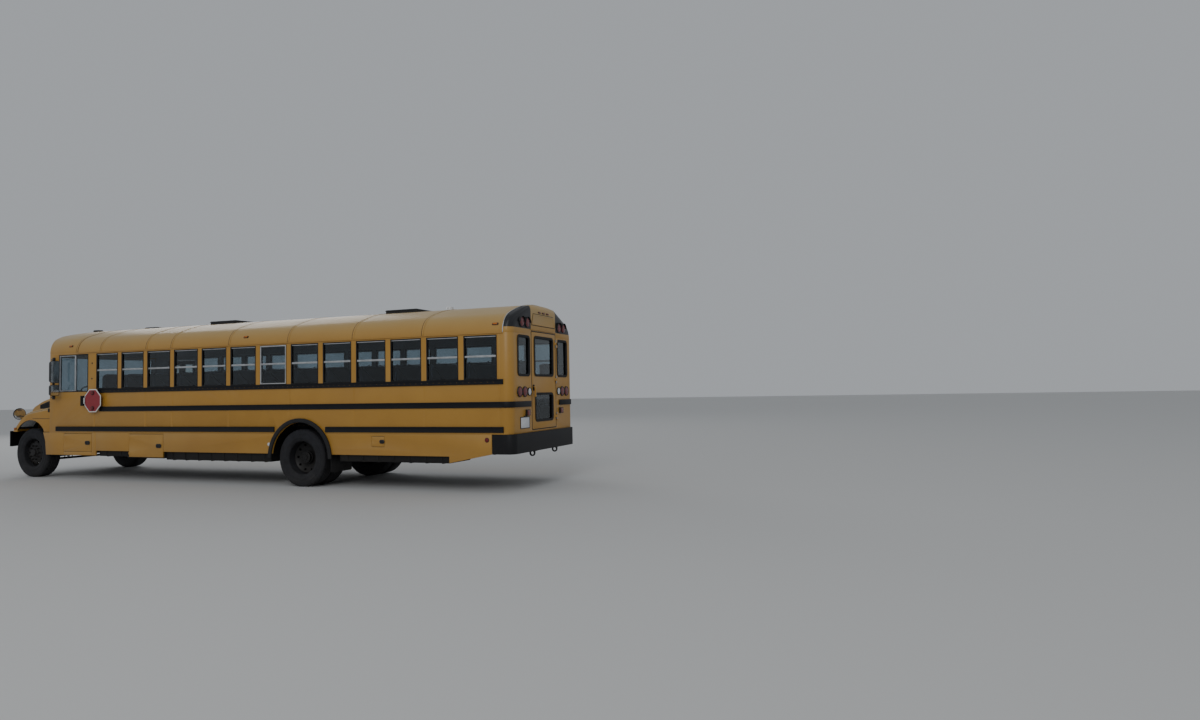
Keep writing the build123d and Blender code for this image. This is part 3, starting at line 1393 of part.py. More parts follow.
# Columns: low Z, high Z of the flat head and the convex head below it
mirror_heads = [(1917, 2372), (1660, 1890)]
with BuildPart() as side_mirrors:
    for side in (-1, 1):
        for low_z, high_z in mirror_heads:
            add(block((mirror_x - 40, mirror_x + 40), (side * (mirror_y - mirror_half), side * (mirror_y + mirror_half)),
                      (low_z, high_z)))
        for z in (1640, 2400):
            add(rod((cowl_x - 120, side * half_width, z), (cowl_x - 120, side * (half_width + 60), z), 14, 6))
            add(rod((cowl_x - 120, side * (half_width + 48), z), (mirror_x, side * mirror_y, z), 14, 6))
        add(rod((mirror_x, side * mirror_y, 1626), (mirror_x, side * mirror_y, 2414), 14, 6))
save(side_mirrors, "side_mirrors")

dome_x = front_axle_x + 640
dome_y = 1010
dome_z = 1300
dome_radius = 125


def dome_foot(side):
    # Where a mirror's arm stands on its fender
    return (front_axle_x + 420, side * (dome_y - 60), 1230)


with BuildPart() as crossview_mirrors:
    for side in (-1, 1):
        add(rod((dome_x, side * dome_y, dome_z), (dome_x + 70, side * dome_y, dome_z), dome_radius, 16))
        chamfer(crossview_mirrors.faces().sort_by(Axis.X)[-1].edges(), 50, 60)
        add(rod((dome_x + 20, side * dome_y, dome_z - 40), dome_foot(side), 12))
save(crossview_mirrors, "crossview_mirrors")

# Lamps. Columns: Y, Z, half width, half height
tail_lamp_depth = 25
tail_lamps = [(930, 1587, 90, 90), (740, 1587, 90, 90), (665, 1249, 60, 50)]
warning_lamp_radius = 85
warning_lamp_sides = 16
warning_lamp_ys = [830, 630]
rear_warning_z = 2710
front_lamp_z = spring_z + warning_lamp_radius + 5


def front_warning_lamp(y):
    # A round lamp on the front cap, cut to the cap's curve at its back
    face_x = nose_centre_x + sqrt(nose_radius**2 - (abs(y) - warning_lamp_radius)**2)
    with BuildPart() as lamp:
        add(rod((face_x - 100, y, front_lamp_z), (face_x + tail_lamp_depth, y, front_lamp_z), warning_lamp_radius,
                warning_lamp_sides))
        with BuildSketch(Plane.XY.offset(spring_z)):
            with Locations((nose_centre_x, 0)):
                Circle(nose_radius)
        extrude(amount=roof_height, mode=Mode.SUBTRACT)
    return lamp.part


with BuildPart() as red_lamps:
    for y, z, half_y, half_z in tail_lamps:
        for side in (-1, 1):
            add(block((tail_x - tail_lamp_depth, tail_x), (side * (y - half_y), side * (y + half_y)),
                      (z - half_z, z + half_z)))
    for y in warning_lamp_ys:
        for side in (-1, 1):
            add(rod((tail_x - tail_lamp_depth, side * y, rear_warning_z), (tail_x, side * y, rear_warning_z),
                    warning_lamp_radius, warning_lamp_sides))
            add(front_warning_lamp(side * y))
save(red_lamps, "red_lamps")

strobe_x = rear_axle_x - 2290
with BuildPart() as clear_lamps:
    add(rod((strobe_x, 0, roof_height), (strobe_x, 0, roof_height + 83), 70, 12))
    for side in (-1, 1):
        add(block((tail_x - tail_lamp_depth, tail_x), (side * 515, side * 645), (1520, 1655)))
save(clear_lamps, "clear_lamps")
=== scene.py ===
import json
import math

import bpy
import bmesh
from mathutils import Matrix, Vector


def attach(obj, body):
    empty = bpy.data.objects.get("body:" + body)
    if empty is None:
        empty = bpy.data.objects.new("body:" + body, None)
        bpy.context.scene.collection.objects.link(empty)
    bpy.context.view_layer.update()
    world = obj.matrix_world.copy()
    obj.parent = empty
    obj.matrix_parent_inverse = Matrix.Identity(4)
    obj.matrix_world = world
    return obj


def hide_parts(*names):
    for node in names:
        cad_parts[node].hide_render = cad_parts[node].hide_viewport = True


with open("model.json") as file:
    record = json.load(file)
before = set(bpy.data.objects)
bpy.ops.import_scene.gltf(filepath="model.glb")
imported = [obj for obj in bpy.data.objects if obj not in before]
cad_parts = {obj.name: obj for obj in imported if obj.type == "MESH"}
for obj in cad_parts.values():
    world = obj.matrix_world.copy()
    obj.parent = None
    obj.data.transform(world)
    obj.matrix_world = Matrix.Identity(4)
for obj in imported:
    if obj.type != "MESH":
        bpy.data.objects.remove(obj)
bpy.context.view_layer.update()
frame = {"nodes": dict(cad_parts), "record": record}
print("frame loaded")

# camera, fitted to the photograph
cameraSettings = {
    "place": (-11.4837, 11.7954, 1.5869),
    "yaw": -1.2089, "pitch": 0.0398, "roll": -0.0173,   # radians
    "lens": 22.87, "sensor": 36, "farthest": 400,
}


def placeCamera():
    s = cameraSettings
    level = math.cos(s["pitch"])
    ahead = Vector((level * math.cos(s["yaw"]), level * math.sin(s["yaw"]), math.sin(s["pitch"])))
    side = ahead.cross(Vector((0, 0, 1))).normalized()
    top = side.cross(ahead)
    right = math.cos(s["roll"]) * side + math.sin(s["roll"]) * top
    up = -math.sin(s["roll"]) * side + math.cos(s["roll"]) * top
    bpy.ops.object.camera_add()
    camera = bpy.context.object
    turn = Matrix((right, up, -ahead)).transposed().to_4x4()
    camera.matrix_world = Matrix.Translation(Vector(s["place"])) @ turn
    camera.data.lens = s["lens"]
    camera.data.sensor_width = s["sensor"]
    camera.data.clip_end = s["farthest"]
    bpy.context.scene.camera = camera


placeCamera()
print("camera placed")


# modelling steps that the pieces below share
def clearSelection():
    active = bpy.context.view_layer.objects.active
    if active and active.mode != "OBJECT":
        bpy.ops.object.mode_set(mode="OBJECT")
    bpy.ops.object.select_all(action="DESELECT")


def onlyActive(piece):
    clearSelection()
    piece.select_set(True)
    bpy.context.view_layer.objects.active = piece


def settle(piece):
    onlyActive(piece)
    bpy.ops.object.transform_apply(location=True, rotation=True, scale=True)
    return piece


def editMesh(piece, select="DESELECT"):
    onlyActive(piece)
    bpy.ops.object.mode_set(mode="EDIT")
    bpy.ops.mesh.select_all(action=select)


def objectMode():
    bpy.ops.object.mode_set(mode="OBJECT")


def pickFaces(piece, test):
    # selects the faces whose centre and normal pass a test, in edit mode
    bpy.ops.mesh.select_mode(type="FACE")
    mesh = bmesh.from_edit_mesh(piece.data)
    for face in mesh.faces:
        face.select_set(bool(test(face.calc_center_median(), face.normal)))
    bmesh.update_edit_mesh(piece.data)


def pickVertices(piece, test):
    bpy.ops.mesh.select_mode(type="VERT")
    mesh = bmesh.from_edit_mesh(piece.data)
    for vertex in mesh.verts:
        vertex.select_set(bool(test(vertex.co)))
    bmesh.update_edit_mesh(piece.data)


def pickEdges(piece, test):
    bpy.ops.mesh.select_mode(type="EDGE")
    mesh = bmesh.from_edit_mesh(piece.data)
    for edge in mesh.edges:
        edge.select_set(False)
    for edge in mesh.edges:
        if test(edge.verts[0].co, edge.verts[1].co):
            edge.select_set(True)
    bmesh.update_edit_mesh(piece.data)


def facing(axis, way=1):
    # a test for faces that look along X, Y or Z (way 1), or against it (way -1)
    index = "XYZ".index(axis)
    return lambda centre, normal: normal[index] * way > 0.9


def insetFaces(piece, test, *steps):
    # insets the faces that pass a test, by one (thickness, depth) step after another
    editMesh(piece)
    pickFaces(piece, test)
    for thickness, depth in steps:
        bpy.ops.mesh.inset(thickness=thickness, depth=depth)
    objectMode()
    return piece


def pointOut():
    # in edit mode, turns every normal outwards
    bpy.ops.mesh.select_all(action="SELECT")
    bpy.ops.mesh.normals_make_consistent(inside=False)


def bevelAll(piece, width, segments=2):
    editMesh(piece, "SELECT")
    bpy.ops.mesh.bevel(offset=width, segments=segments, affect="EDGES")
    objectMode()
    return piece


def bevelSharp(piece, width, segments=2, angle=35):
    # rounds every edge sharper than an angle with a Bevel modifier, and applies it
    onlyActive(piece)
    modifier = piece.modifiers.new("edges", "BEVEL")
    modifier.width = width
    modifier.segments = segments
    modifier.limit_method = "ANGLE"
    modifier.angle_limit = math.radians(angle)
    bpy.ops.object.modifier_apply(modifier="edges")
    return piece


def smooth(piece, angle=35):
    onlyActive(piece)
    bpy.ops.object.shade_smooth_by_angle(angle=math.radians(angle))
    return piece


def turnMesh(piece, angle, axis="Z"):
    piece.data.transform(Matrix.Rotation(angle, 4, axis))
    return piece


def moveMesh(piece, place):
    piece.data.transform(Matrix.Translation(Vector(place)))
    return piece


def mirrored(piece):
    # the same shape on the other side of the body
    piece.data.transform(Matrix.Scale(-1, 4, Vector((0, 1, 0))))
    piece.data.flip_normals()
    return piece


def across(side, inner, outer):
    # two Y places on one side of the body, the lower first
    return sorted((side * inner, side * outer))


def addBox(name, low, high, bevel=0.0, segments=2):
    clearSelection()
    centre = [(a + b) / 2 for a, b in zip(low, high)]
    size = [abs(b - a) for a, b in zip(low, high)]
    bpy.ops.mesh.primitive_cube_add(size=1, location=centre, scale=size)
    piece = settle(bpy.context.object)
    piece.name = name
    if bevel:
        bevelAll(piece, bevel, segments)
    return piece


def addRod(vertices, radius, depth, place):
    # a rod along Y, such as a nut or a cutter
    bpy.ops.mesh.primitive_cylinder_add(vertices=vertices, radius=radius, depth=depth, location=place,
                                        rotation=(math.pi / 2, 0, 0))
    return settle(bpy.context.object)


def addFrame(name, low, high, width):
    # a rectangular frame in a side wall: both broad faces inset, and the middle bridged through
    piece = addBox(name, low, high)
    editMesh(piece)
    pickFaces(piece, lambda centre, normal: abs(normal.y) > 0.9)
    bpy.ops.mesh.inset(thickness=width, use_even_offset=True)
    bpy.ops.mesh.bridge_edge_loops()
    objectMode()
    return smooth(bevelSharp(piece, 0.003, 2, 60), 40)


def turned(name, centre, profile, segments=64, axis="Y", close="caps"):
    # a turned piece: a circle extruded and scaled from ring to ring along (radius, distance) pairs
    clearSelection()
    radius, along = profile[0]
    turn = {"X": (0, math.pi / 2, 0), "Y": (-math.pi / 2, 0, 0), "Z": (0, 0, 0)}[axis]
    bpy.ops.mesh.primitive_circle_add(vertices=segments, radius=1, fill_type="NOTHING", rotation=turn)
    piece = settle(bpy.context.object)
    piece.name = name
    index = "XYZ".index(axis)
    unit = Vector([1.0 if i == index else 0.0 for i in range(3)])
    editMesh(piece, "SELECT")
    size = Vector([1.0 if i == index else radius for i in range(3)])
    bpy.ops.transform.resize(value=size, center_override=(0, 0, 0))
    bpy.ops.transform.translate(value=unit * along)
    for nextRadius, nextAlong in profile[1:]:
        bpy.ops.mesh.extrude_region()
        ratio = nextRadius / radius
        size = Vector([1.0 if i == index else ratio for i in range(3)])
        bpy.ops.transform.translate(value=unit * (nextAlong - along))
        bpy.ops.transform.resize(value=size, center_override=unit * nextAlong)
        radius, along = nextRadius, nextAlong
    bpy.ops.mesh.select_mode(type="EDGE")
    bpy.ops.mesh.select_all(action="DESELECT")
    bpy.ops.mesh.select_non_manifold(extend=False)
    if close == "caps":
        bpy.ops.mesh.edge_face_add()
    if close == "loop":
        bpy.ops.mesh.bridge_edge_loops()
    pointOut()
    bpy.ops.transform.translate(value=Vector(centre))
    objectMode()
    return smooth(piece, 32)


def copyPiece(piece, shift=(0, 0, 0), halfTurn=False, name=None):
    # a copy with its own mesh, moved, and turned half round the upright axis when asked
    clearSelection()
    twin = piece.copy()
    twin.data = piece.data.copy()
    bpy.context.scene.collection.objects.link(twin)
    if halfTurn:
        turnMesh(twin, math.pi)
    moveMesh(twin, shift)
    if name:
        twin.name = name
    return twin


def joinPieces(name, parts):
    clearSelection()
    for part in parts:
        part.select_set(True)
    bpy.context.view_layer.objects.active = parts[0]
    if len(parts) > 1:
        bpy.ops.object.join()
    piece = bpy.context.view_layer.objects.active
    piece.name = name
    return piece


def dress(piece, material):
    piece.data.materials.clear()
    piece.data.materials.append(material)
    return piece


def ready(piece, body, replaced=()):
    settle(piece)
    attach(piece, body)
    if replaced:
        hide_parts(*replaced)
    return piece


def mount(name, parts, lookName, body="coach", replaced=(), angle=None):
    # joins parts into one piece, dresses it, smooths it up to an angle, and puts it on its body
    piece = dress(joinPieces(name, parts), look[lookName])
    if angle:
        smooth(piece, angle)
    return ready(piece, body, replaced)


def cadCopy(node, name, bevel, segments=2, angle=40):
    # a merged copy of a CAD node, with its sharp edges rounded
    clearSelection()
    twin = bpy.data.objects.new(name, frame["nodes"][node].data.copy())
    bpy.context.scene.collection.objects.link(twin)
    editMesh(twin, "SELECT")
    bpy.ops.mesh.remove_doubles(threshold=0.00002)
    bpy.ops.mesh.dissolve_limited(angle_limit=math.radians(0.5))
    objectMode()
    return smooth(bevelSharp(twin, bevel, segments, angle), 32)


# shared shapes
def tube(start, end, radius, segments=16):
    # a round bar between two points
    clearSelection()
    line = Vector(end) - Vector(start)
    bpy.ops.mesh.primitive_cylinder_add(vertices=segments, radius=radius, depth=line.length)
    piece = bpy.context.object
    piece.rotation_euler = line.to_track_quat("Z", "Y").to_euler()
    piece.location = (Vector(start) + Vector(end)) / 2
    return smooth(bevelSharp(settle(piece), radius * 0.2, 2, 60), 50)


def roundedBlock(name, low, high, axis, radius, segments=6, edge=0.004):
    # a block with its four long corners rounded about one axis (0, 1, 2 for X, Y, Z), and its rims eased
    piece = addBox(name, low, high)
    editMesh(piece)
    pickEdges(piece, lambda a, b: abs(a[axis] - b[axis]) > 0.5 * abs(high[axis] - low[axis])
              and sum(abs(a[i] - b[i]) for i in range(3) if i != axis) < 0.0001)
    bpy.ops.mesh.bevel(offset=radius, segments=segments, affect="EDGES")
    objectMode()
    if edge:
        bevelSharp(piece, edge, 2, 60)
    return smooth(piece, 40)


def roundedFrame(name, low, high, axis, radius, width, edge=0.003):
    # a rounded rectangular ring, such as a window rubber
    piece = roundedBlock(name, low, high, axis, radius, 6, 0)
    editMesh(piece)
    pickFaces(piece, lambda centre, normal: abs(normal[axis]) > 0.9)
    bpy.ops.mesh.inset(thickness=width, use_even_offset=True)
    bpy.ops.mesh.bridge_edge_loops()
    pointOut()
    objectMode()
    return smooth(bevelSharp(piece, edge, 2, 60), 40)


def rivets(name, places, radius, height):
    # low round heads at (place, outward direction), copied from one
    clearSelection()
    bpy.ops.mesh.primitive_cone_add(vertices=8, radius1=radius, radius2=radius * 0.55, depth=height)
    head = settle(bpy.context.object)
    heads = []
    for place, outward in places:
        twin = copyPiece(head)
        turn = Vector(outward).to_track_quat("Z", "Y").to_matrix().to_4x4()
        twin.data.transform(Matrix.Translation(Vector(place) + Vector(outward) * height * 0.4) @ turn)
        heads.append(twin)
    bpy.data.objects.remove(head)
    return smooth(joinPieces(name, heads), 50)


# materials: shared effects are node groups that put out masks and colours only
paintColours = {
    "yellow": (0.50, 0.262, 0.042), "yellowDeep": (0.455, 0.232, 0.035), "cabin": (0.36, 0.38, 0.40),
    "black": (0.006, 0.0065, 0.009), "blackPale": (0.009, 0.0095, 0.013),
    "chassis": (0.006, 0.0065, 0.008), "chassisPale": (0.011, 0.011, 0.012),
    "wheelPale": (0.011, 0.011, 0.013),
    "white": (0.80, 0.80, 0.78), "whiteDeep": (0.70, 0.70, 0.67),
    "plate": (0.74, 0.75, 0.78), "plateDeep": (0.66, 0.68, 0.72),
    "red": (0.31, 0.020, 0.030), "redDeep": (0.27, 0.018, 0.026),
    "vinyl": (0.020, 0.026, 0.042), "vinylPale": (0.030, 0.038, 0.058),
    "mat": (0.02, 0.02, 0.022), "matPale": (0.05, 0.048, 0.045),
    # the pale colour laid where surfaces look up and over the roof's curve is partly dust, partly a painted
    # sky reflection
    "dustAndSkySheen": (0.50, 0.365, 0.155), "roadDust": (0.30, 0.25, 0.19), "rubberDust": (0.16, 0.14, 0.11),
}
paintPlaces = {
    "roofLow": 2.45, "cabinMiddle": 1.9, "hoodMiddle": 1.0,      # heights
    "rearGround": (-5.855, 0.49, 2.612),                         # black on the tail's cap: X, |Y|, Z limits
    "frontGround": (4.60, (0.515, 0.945), (2.45, 2.735)),        # black on the front cap: X, |Y| and Z limits
}


def newGroup(name, inputs, outputs):
    group = bpy.data.node_groups.new(name, "ShaderNodeTree")
    for socketName, kind, value in inputs:
        made = group.interface.new_socket(socketName, in_out="INPUT", socket_type="NodeSocket" + kind)
        if value is not None:
            made.default_value = value
    for socketName, kind in outputs:
        group.interface.new_socket(socketName, in_out="OUTPUT", socket_type="NodeSocket" + kind)
    start = group.nodes.new("NodeGroupInput")
    end = group.nodes.new("NodeGroupOutput")
    return group, start.outputs, end.inputs


def addNode(tree, kind, values=None, **settings):
    node = tree.nodes.new(kind)
    for key, value in settings.items():
        setattr(node, key, value)
    for key, value in (values or {}).items():
        node.inputs[key].default_value = value
    return node


def feed(tree, value, socket):
    # joins an output to a socket, or sets the socket to a number, a place or a colour
    if isinstance(value, bpy.types.NodeSocket):
        tree.links.new(value, socket)
    else:
        socket.default_value = (*value, 1) if socket.type == "RGBA" else value


def mixColour(tree, factor, first, second):
    node = addNode(tree, "ShaderNodeMix", data_type="RGBA")
    for value, index in ((factor, 0), (first, 6), (second, 7)):
        feed(tree, value, node.inputs[index])
    return node.outputs[2]


def calculate(tree, operation, *values, clamp=False):
    node = addNode(tree, "ShaderNodeMath", operation=operation, use_clamp=clamp)
    for value, socket in zip(values, node.inputs):
        feed(tree, value, socket)
    return node.outputs[0]


def vectorMath(tree, operation, *values):
    node = addNode(tree, "ShaderNodeVectorMath", operation=operation)
    for value, socket in zip(values, node.inputs):
        feed(tree, value, socket)
    return node.outputs["Value" if operation == "DOT_PRODUCT" else 0]


def coordinate(tree, kind="Object"):
    return tree.nodes.new("ShaderNodeTexCoord").outputs[kind]


def split(tree, vector):
    # the X, Y and Z of a vector
    node = tree.nodes.new("ShaderNodeSeparateXYZ")
    tree.links.new(vector, node.inputs[0])
    return node.outputs


def noiseAt(tree, position, scale, detail, roughness=0.5):
    noise = addNode(tree, "ShaderNodeTexNoise", {"Detail": detail, "Roughness": roughness})
    feed(tree, position, noise.inputs["Vector"])
    feed(tree, scale, noise.inputs["Scale"])
    return noise.outputs[0]


def cellsAt(tree, position, scale):
    cells = tree.nodes.new("ShaderNodeTexVoronoi")
    feed(tree, position, cells.inputs["Vector"])
    feed(tree, scale, cells.inputs["Scale"])
    return cells.outputs["Distance"]


def buildDustGroup():
    # road dust that thickens towards the ground, broken up by two noises
    group, given, result = newGroup("roadDust", [
        ("Position", "Vector", None), ("Top", "Float", 1.2), ("Amount", "Float", 0.5),
        ("Scale", "Float", 3.0)],
        [("Mask", "Float")])
    height = calculate(group, "DIVIDE", split(group, given["Position"])[2], given["Top"])
    low = calculate(group, "SUBTRACT", 1.0, height, clamp=True)
    coarse = noiseAt(group, given["Position"], given["Scale"], 6.0, 0.65)
    fine = noiseAt(group, given["Position"], 45.0, 3.0)
    broken = calculate(group, "MULTIPLY", coarse, fine)
    lifted = calculate(group, "MULTIPLY", broken, 3.2)        # the product of two noises is dim
    mask = calculate(group, "MULTIPLY", low, lifted)
    feed(group, calculate(group, "MULTIPLY", mask, given["Amount"], clamp=True), result[0])
    return group


def buildMottleGroup():
    # slow colour change over a surface, between two colours
    group, given, result = newGroup("mottle", [
        ("Position", "Vector", None), ("Scale", "Float", 2.0), ("First", "Color", (1, 1, 1, 1)),
        ("Second", "Color", (0.5, 0.5, 0.5, 1))], [("Colour", "Color"), ("Height", "Float")])
    noise = noiseAt(group, given["Position"], given["Scale"], 8.0, 0.6)
    ramp = group.nodes.new("ShaderNodeValToRGB")
    ramp.color_ramp.elements[0].position = 0.35
    ramp.color_ramp.elements[1].position = 0.68
    feed(group, noise, ramp.inputs[0])
    feed(group, mixColour(group, ramp.outputs[0], given["First"], given["Second"]), result["Colour"])
    feed(group, noise, result["Height"])
    return group


def buildGrainGroup():
    # fine moulded or woven grain, as a height
    group, given, result = newGroup("fineGrain", [("Position", "Vector", None), ("Scale", "Float", 400.0)],
                                    [("Height", "Float")])
    cells = cellsAt(group, given["Position"], given["Scale"])
    noise = noiseAt(group, given["Position"], 60.0, 4.0)
    feed(group, calculate(group, "ADD", cells, noise), result[0])
    return group


def buildDustAndSkySheenGroup():
    # pale dust and a painted sky sheen where a surface looks up, and over the curve of the roof
    group, given, result = newGroup("dustAndSkySheen", [
        ("Position", "Vector", None), ("Normal", "Vector", None),
        ("RoofLow", "Float", paintPlaces["roofLow"])],
        [("Mask", "Float")])
    up = calculate(group, "MULTIPLY", split(group, given["Normal"])[2], 0.85, clamp=True)
    above = calculate(group, "SUBTRACT", split(group, given["Position"])[2], given["RoofLow"])
    high = calculate(group, "MULTIPLY", calculate(group, "MULTIPLY", above, 2.2, clamp=True), 0.70)
    patch = noiseAt(group, given["Position"], 1.6, 5.0)
    spread = calculate(group, "MULTIPLY_ADD", patch, 0.5, 0.72)
    most = calculate(group, "MAXIMUM", up, high)
    feed(group, calculate(group, "MULTIPLY", most, spread, clamp=True), result[0])
    return group


dustGroup = buildDustGroup()
dustAndSkySheenGroup = buildDustAndSkySheenGroup()
mottleGroup = buildMottleGroup()
grainGroup = buildGrainGroup()


def newMaterial(name, roughness, metallic=0.0, **plain):
    material = bpy.data.materials.new(name)
    material.use_nodes = True
    shader = material.node_tree.nodes["Principled BSDF"]
    shader.inputs["Roughness"].default_value = roughness
    shader.inputs["Metallic"].default_value = metallic
    for key, value in plain.items():
        shader.inputs[key.replace("_", " ")].default_value = value
    return material, material.node_tree, shader


def addGroup(tree, group, position, **values):
    node = addNode(tree, "ShaderNodeGroup", node_tree=group)
    feed(tree, position, node.inputs["Position"])
    for key, value in values.items():
        feed(tree, value, node.inputs[key])
    return node.outputs


def mottled(name, colour, second, scale, roughness, metallic=0.0, **plain):
    # the start of every look here: a base colour that drifts between two
    material, tree, shader = newMaterial(name, roughness, metallic, **plain)
    position = coordinate(tree)
    colours = addGroup(tree, mottleGroup, position, Scale=scale, First=colour, Second=second)
    feed(tree, colours["Colour"], shader.inputs["Base Color"])
    return material, tree, shader, position


def layOver(tree, shader, mask, colour):
    # lays a colour over the base colour, as far as a mask says
    base = shader.inputs["Base Color"]
    feed(tree, mixColour(tree, mask, base.links[0].from_socket, colour), base)


def bumpFrom(tree, shader, height, strength, distance):
    bump = addNode(tree, "ShaderNodeBump", {"Strength": strength, "Distance": distance})
    feed(tree, height, bump.inputs["Height"])
    feed(tree, bump.outputs[0], shader.inputs["Normal"])


def enamel(name, colour, second, roughness, dust, dustTop=1.3, **plain):
    # painted steel: slow mottle, road dust low down, faint orange peel
    settings = {"Coat_Weight": 0.12, "Coat_Roughness": 0.2, **plain}
    material, tree, shader, position = mottled(name, paintColours[colour], paintColours[second], 1.3,
                                               roughness, **settings)
    dustMask = addGroup(tree, dustGroup, position, Top=dustTop, Amount=dust, Scale=2.2)[0]
    layOver(tree, shader, dustMask, paintColours["roadDust"])
    feed(tree, calculate(tree, "MULTIPLY_ADD", dustMask, 0.45, roughness), shader.inputs["Roughness"])
    bumpFrom(tree, shader, noiseAt(tree, position, 120.0, 2.0), 0.05, 0.002)
    return material, tree, shader, position


def facesInwards(tree, position, middle):
    # 1 where a surface looks at the line along the body's middle, from its own normal and place
    offset = vectorMath(tree, "SUBTRACT", position, (0, 0, middle))
    flat = vectorMath(tree, "MULTIPLY", offset, (0, 1, 1))
    away = vectorMath(tree, "NORMALIZE", flat)
    return calculate(tree, "LESS_THAN", vectorMath(tree, "DOT_PRODUCT", coordinate(tree, "Normal"), away),
                     -0.45)


def bodyPaint(name, inside):
    # yellow with dust and a painted sky sheen lying on top, and the cabin's grey on the faces that look in
    material, tree, shader, position = enamel(name, "yellow", "yellowDeep", 0.42, 0.16, 1.0)
    # pale dust and painted sky reflection on the faces that look up and on the roof's curve
    dustAndSheen = addGroup(tree, dustAndSkySheenGroup, position, Normal=coordinate(tree, "Normal"))
    layOver(tree, shader, dustAndSheen[0], paintColours["dustAndSkySheen"])
    if inside:
        layOver(tree, shader, facesInwards(tree, position, paintPlaces["cabinMiddle"]), paintColours["cabin"])
    return material, tree, shader, position


def between(tree, value, limits):
    above = calculate(tree, "GREATER_THAN", value, limits[0])
    below = calculate(tree, "LESS_THAN", value, limits[1])
    return calculate(tree, "MULTIPLY", above, below)


def capPaint():
    # the caps: yellow with black grounds behind the warning lamps
    material, tree, shader, position = bodyPaint("capPaint", True)
    along, sideways, up = split(tree, position)
    sideways = calculate(tree, "ABSOLUTE", sideways)
    rearX, wide, low = paintPlaces["rearGround"]
    rear = calculate(tree, "MULTIPLY", calculate(tree, "GREATER_THAN", sideways, wide),
                     calculate(tree, "GREATER_THAN", up, low))
    rear = calculate(tree, "MULTIPLY", rear, calculate(tree, "LESS_THAN", along, rearX))
    frontX, wide, high = paintPlaces["frontGround"]
    front = calculate(tree, "MULTIPLY", between(tree, sideways, wide), between(tree, up, high))
    front = calculate(tree, "MULTIPLY", front, calculate(tree, "GREATER_THAN", along, frontX))
    layOver(tree, shader, calculate(tree, "MAXIMUM", rear, front), paintColours["black"])
    return material


def hoodPaint():
    # the hood and fenders: yellow outside, black where they face down or inwards
    material, tree, shader, position = bodyPaint("hoodPaint", False)
    under = calculate(tree, "LESS_THAN", split(tree, coordinate(tree, "Normal"))[2], -0.25)
    hidden = calculate(tree, "MAXIMUM", under, facesInwards(tree, position, paintPlaces["hoodMiddle"]))
    layOver(tree, shader, hidden, paintColours["black"])
    return material


def rubber(name, colour, roughness, grain, dust, bump=0.25):
    paler = tuple(min(1.0, c * 1.9 + 0.004) for c in colour)
    material, tree, shader, position = mottled(name, colour, paler, 6.0, roughness)
    layOver(tree, shader, addGroup(tree, dustGroup, position, Top=1.0, Amount=dust, Scale=5.0)[0],
            paintColours["rubberDust"])
    bumpFrom(tree, shader, addGroup(tree, grainGroup, position, Scale=grain)[0], bump, 0.001)
    return material


def metal(name, colour, roughness, brushed=60.0):
    darker = tuple(c * 0.72 for c in colour)
    material, tree, shader, position = mottled(name, colour, darker, 9.0, roughness, 1.0)
    streak = noiseAt(tree, position, brushed, 4.0)
    feed(tree, calculate(tree, "MULTIPLY_ADD", streak, 0.25, roughness), shader.inputs["Roughness"])
    bumpFrom(tree, shader, streak, 0.05, 0.001)
    return material


def windowGlass(name, colour):
    darker = tuple(c * 0.85 for c in colour)
    return mottled(name, colour, darker, 1.7, 0.03, Transmission_Weight=1.0, IOR=1.45)[0]


def lens(name, colour):
    darker = tuple(c * 0.6 for c in colour)
    material, tree, shader, position = mottled(name, colour, darker, 30.0, 0.2, Coat_Weight=0.25,
                                               Coat_Roughness=0.08)
    bumpFrom(tree, shader, cellsAt(tree, position, 260.0), 0.4, 0.002)
    return material


def seatVinyl():
    material, tree, shader, position = mottled("seatVinyl", paintColours["vinyl"], paintColours["vinylPale"],
                                               4.0, 0.55, Sheen_Weight=0.15, Sheen_Roughness=0.5)
    bumpFrom(tree, shader, addGroup(tree, grainGroup, position, Scale=260.0)[0], 0.3, 0.0015)
    return material


def ribbedMat():
    mat, pale = paintColours["mat"], paintColours["matPale"]
    material, tree, shader, position = mottled("ribbedMat", mat, pale, 3.0, 0.8)
    ribs = addNode(tree, "ShaderNodeTexWave", {"Scale": 22.0}, bands_direction="Y")
    feed(tree, position, ribs.inputs["Vector"])
    bumpFrom(tree, shader, ribs.outputs["Fac"], 0.5, 0.004)
    return material


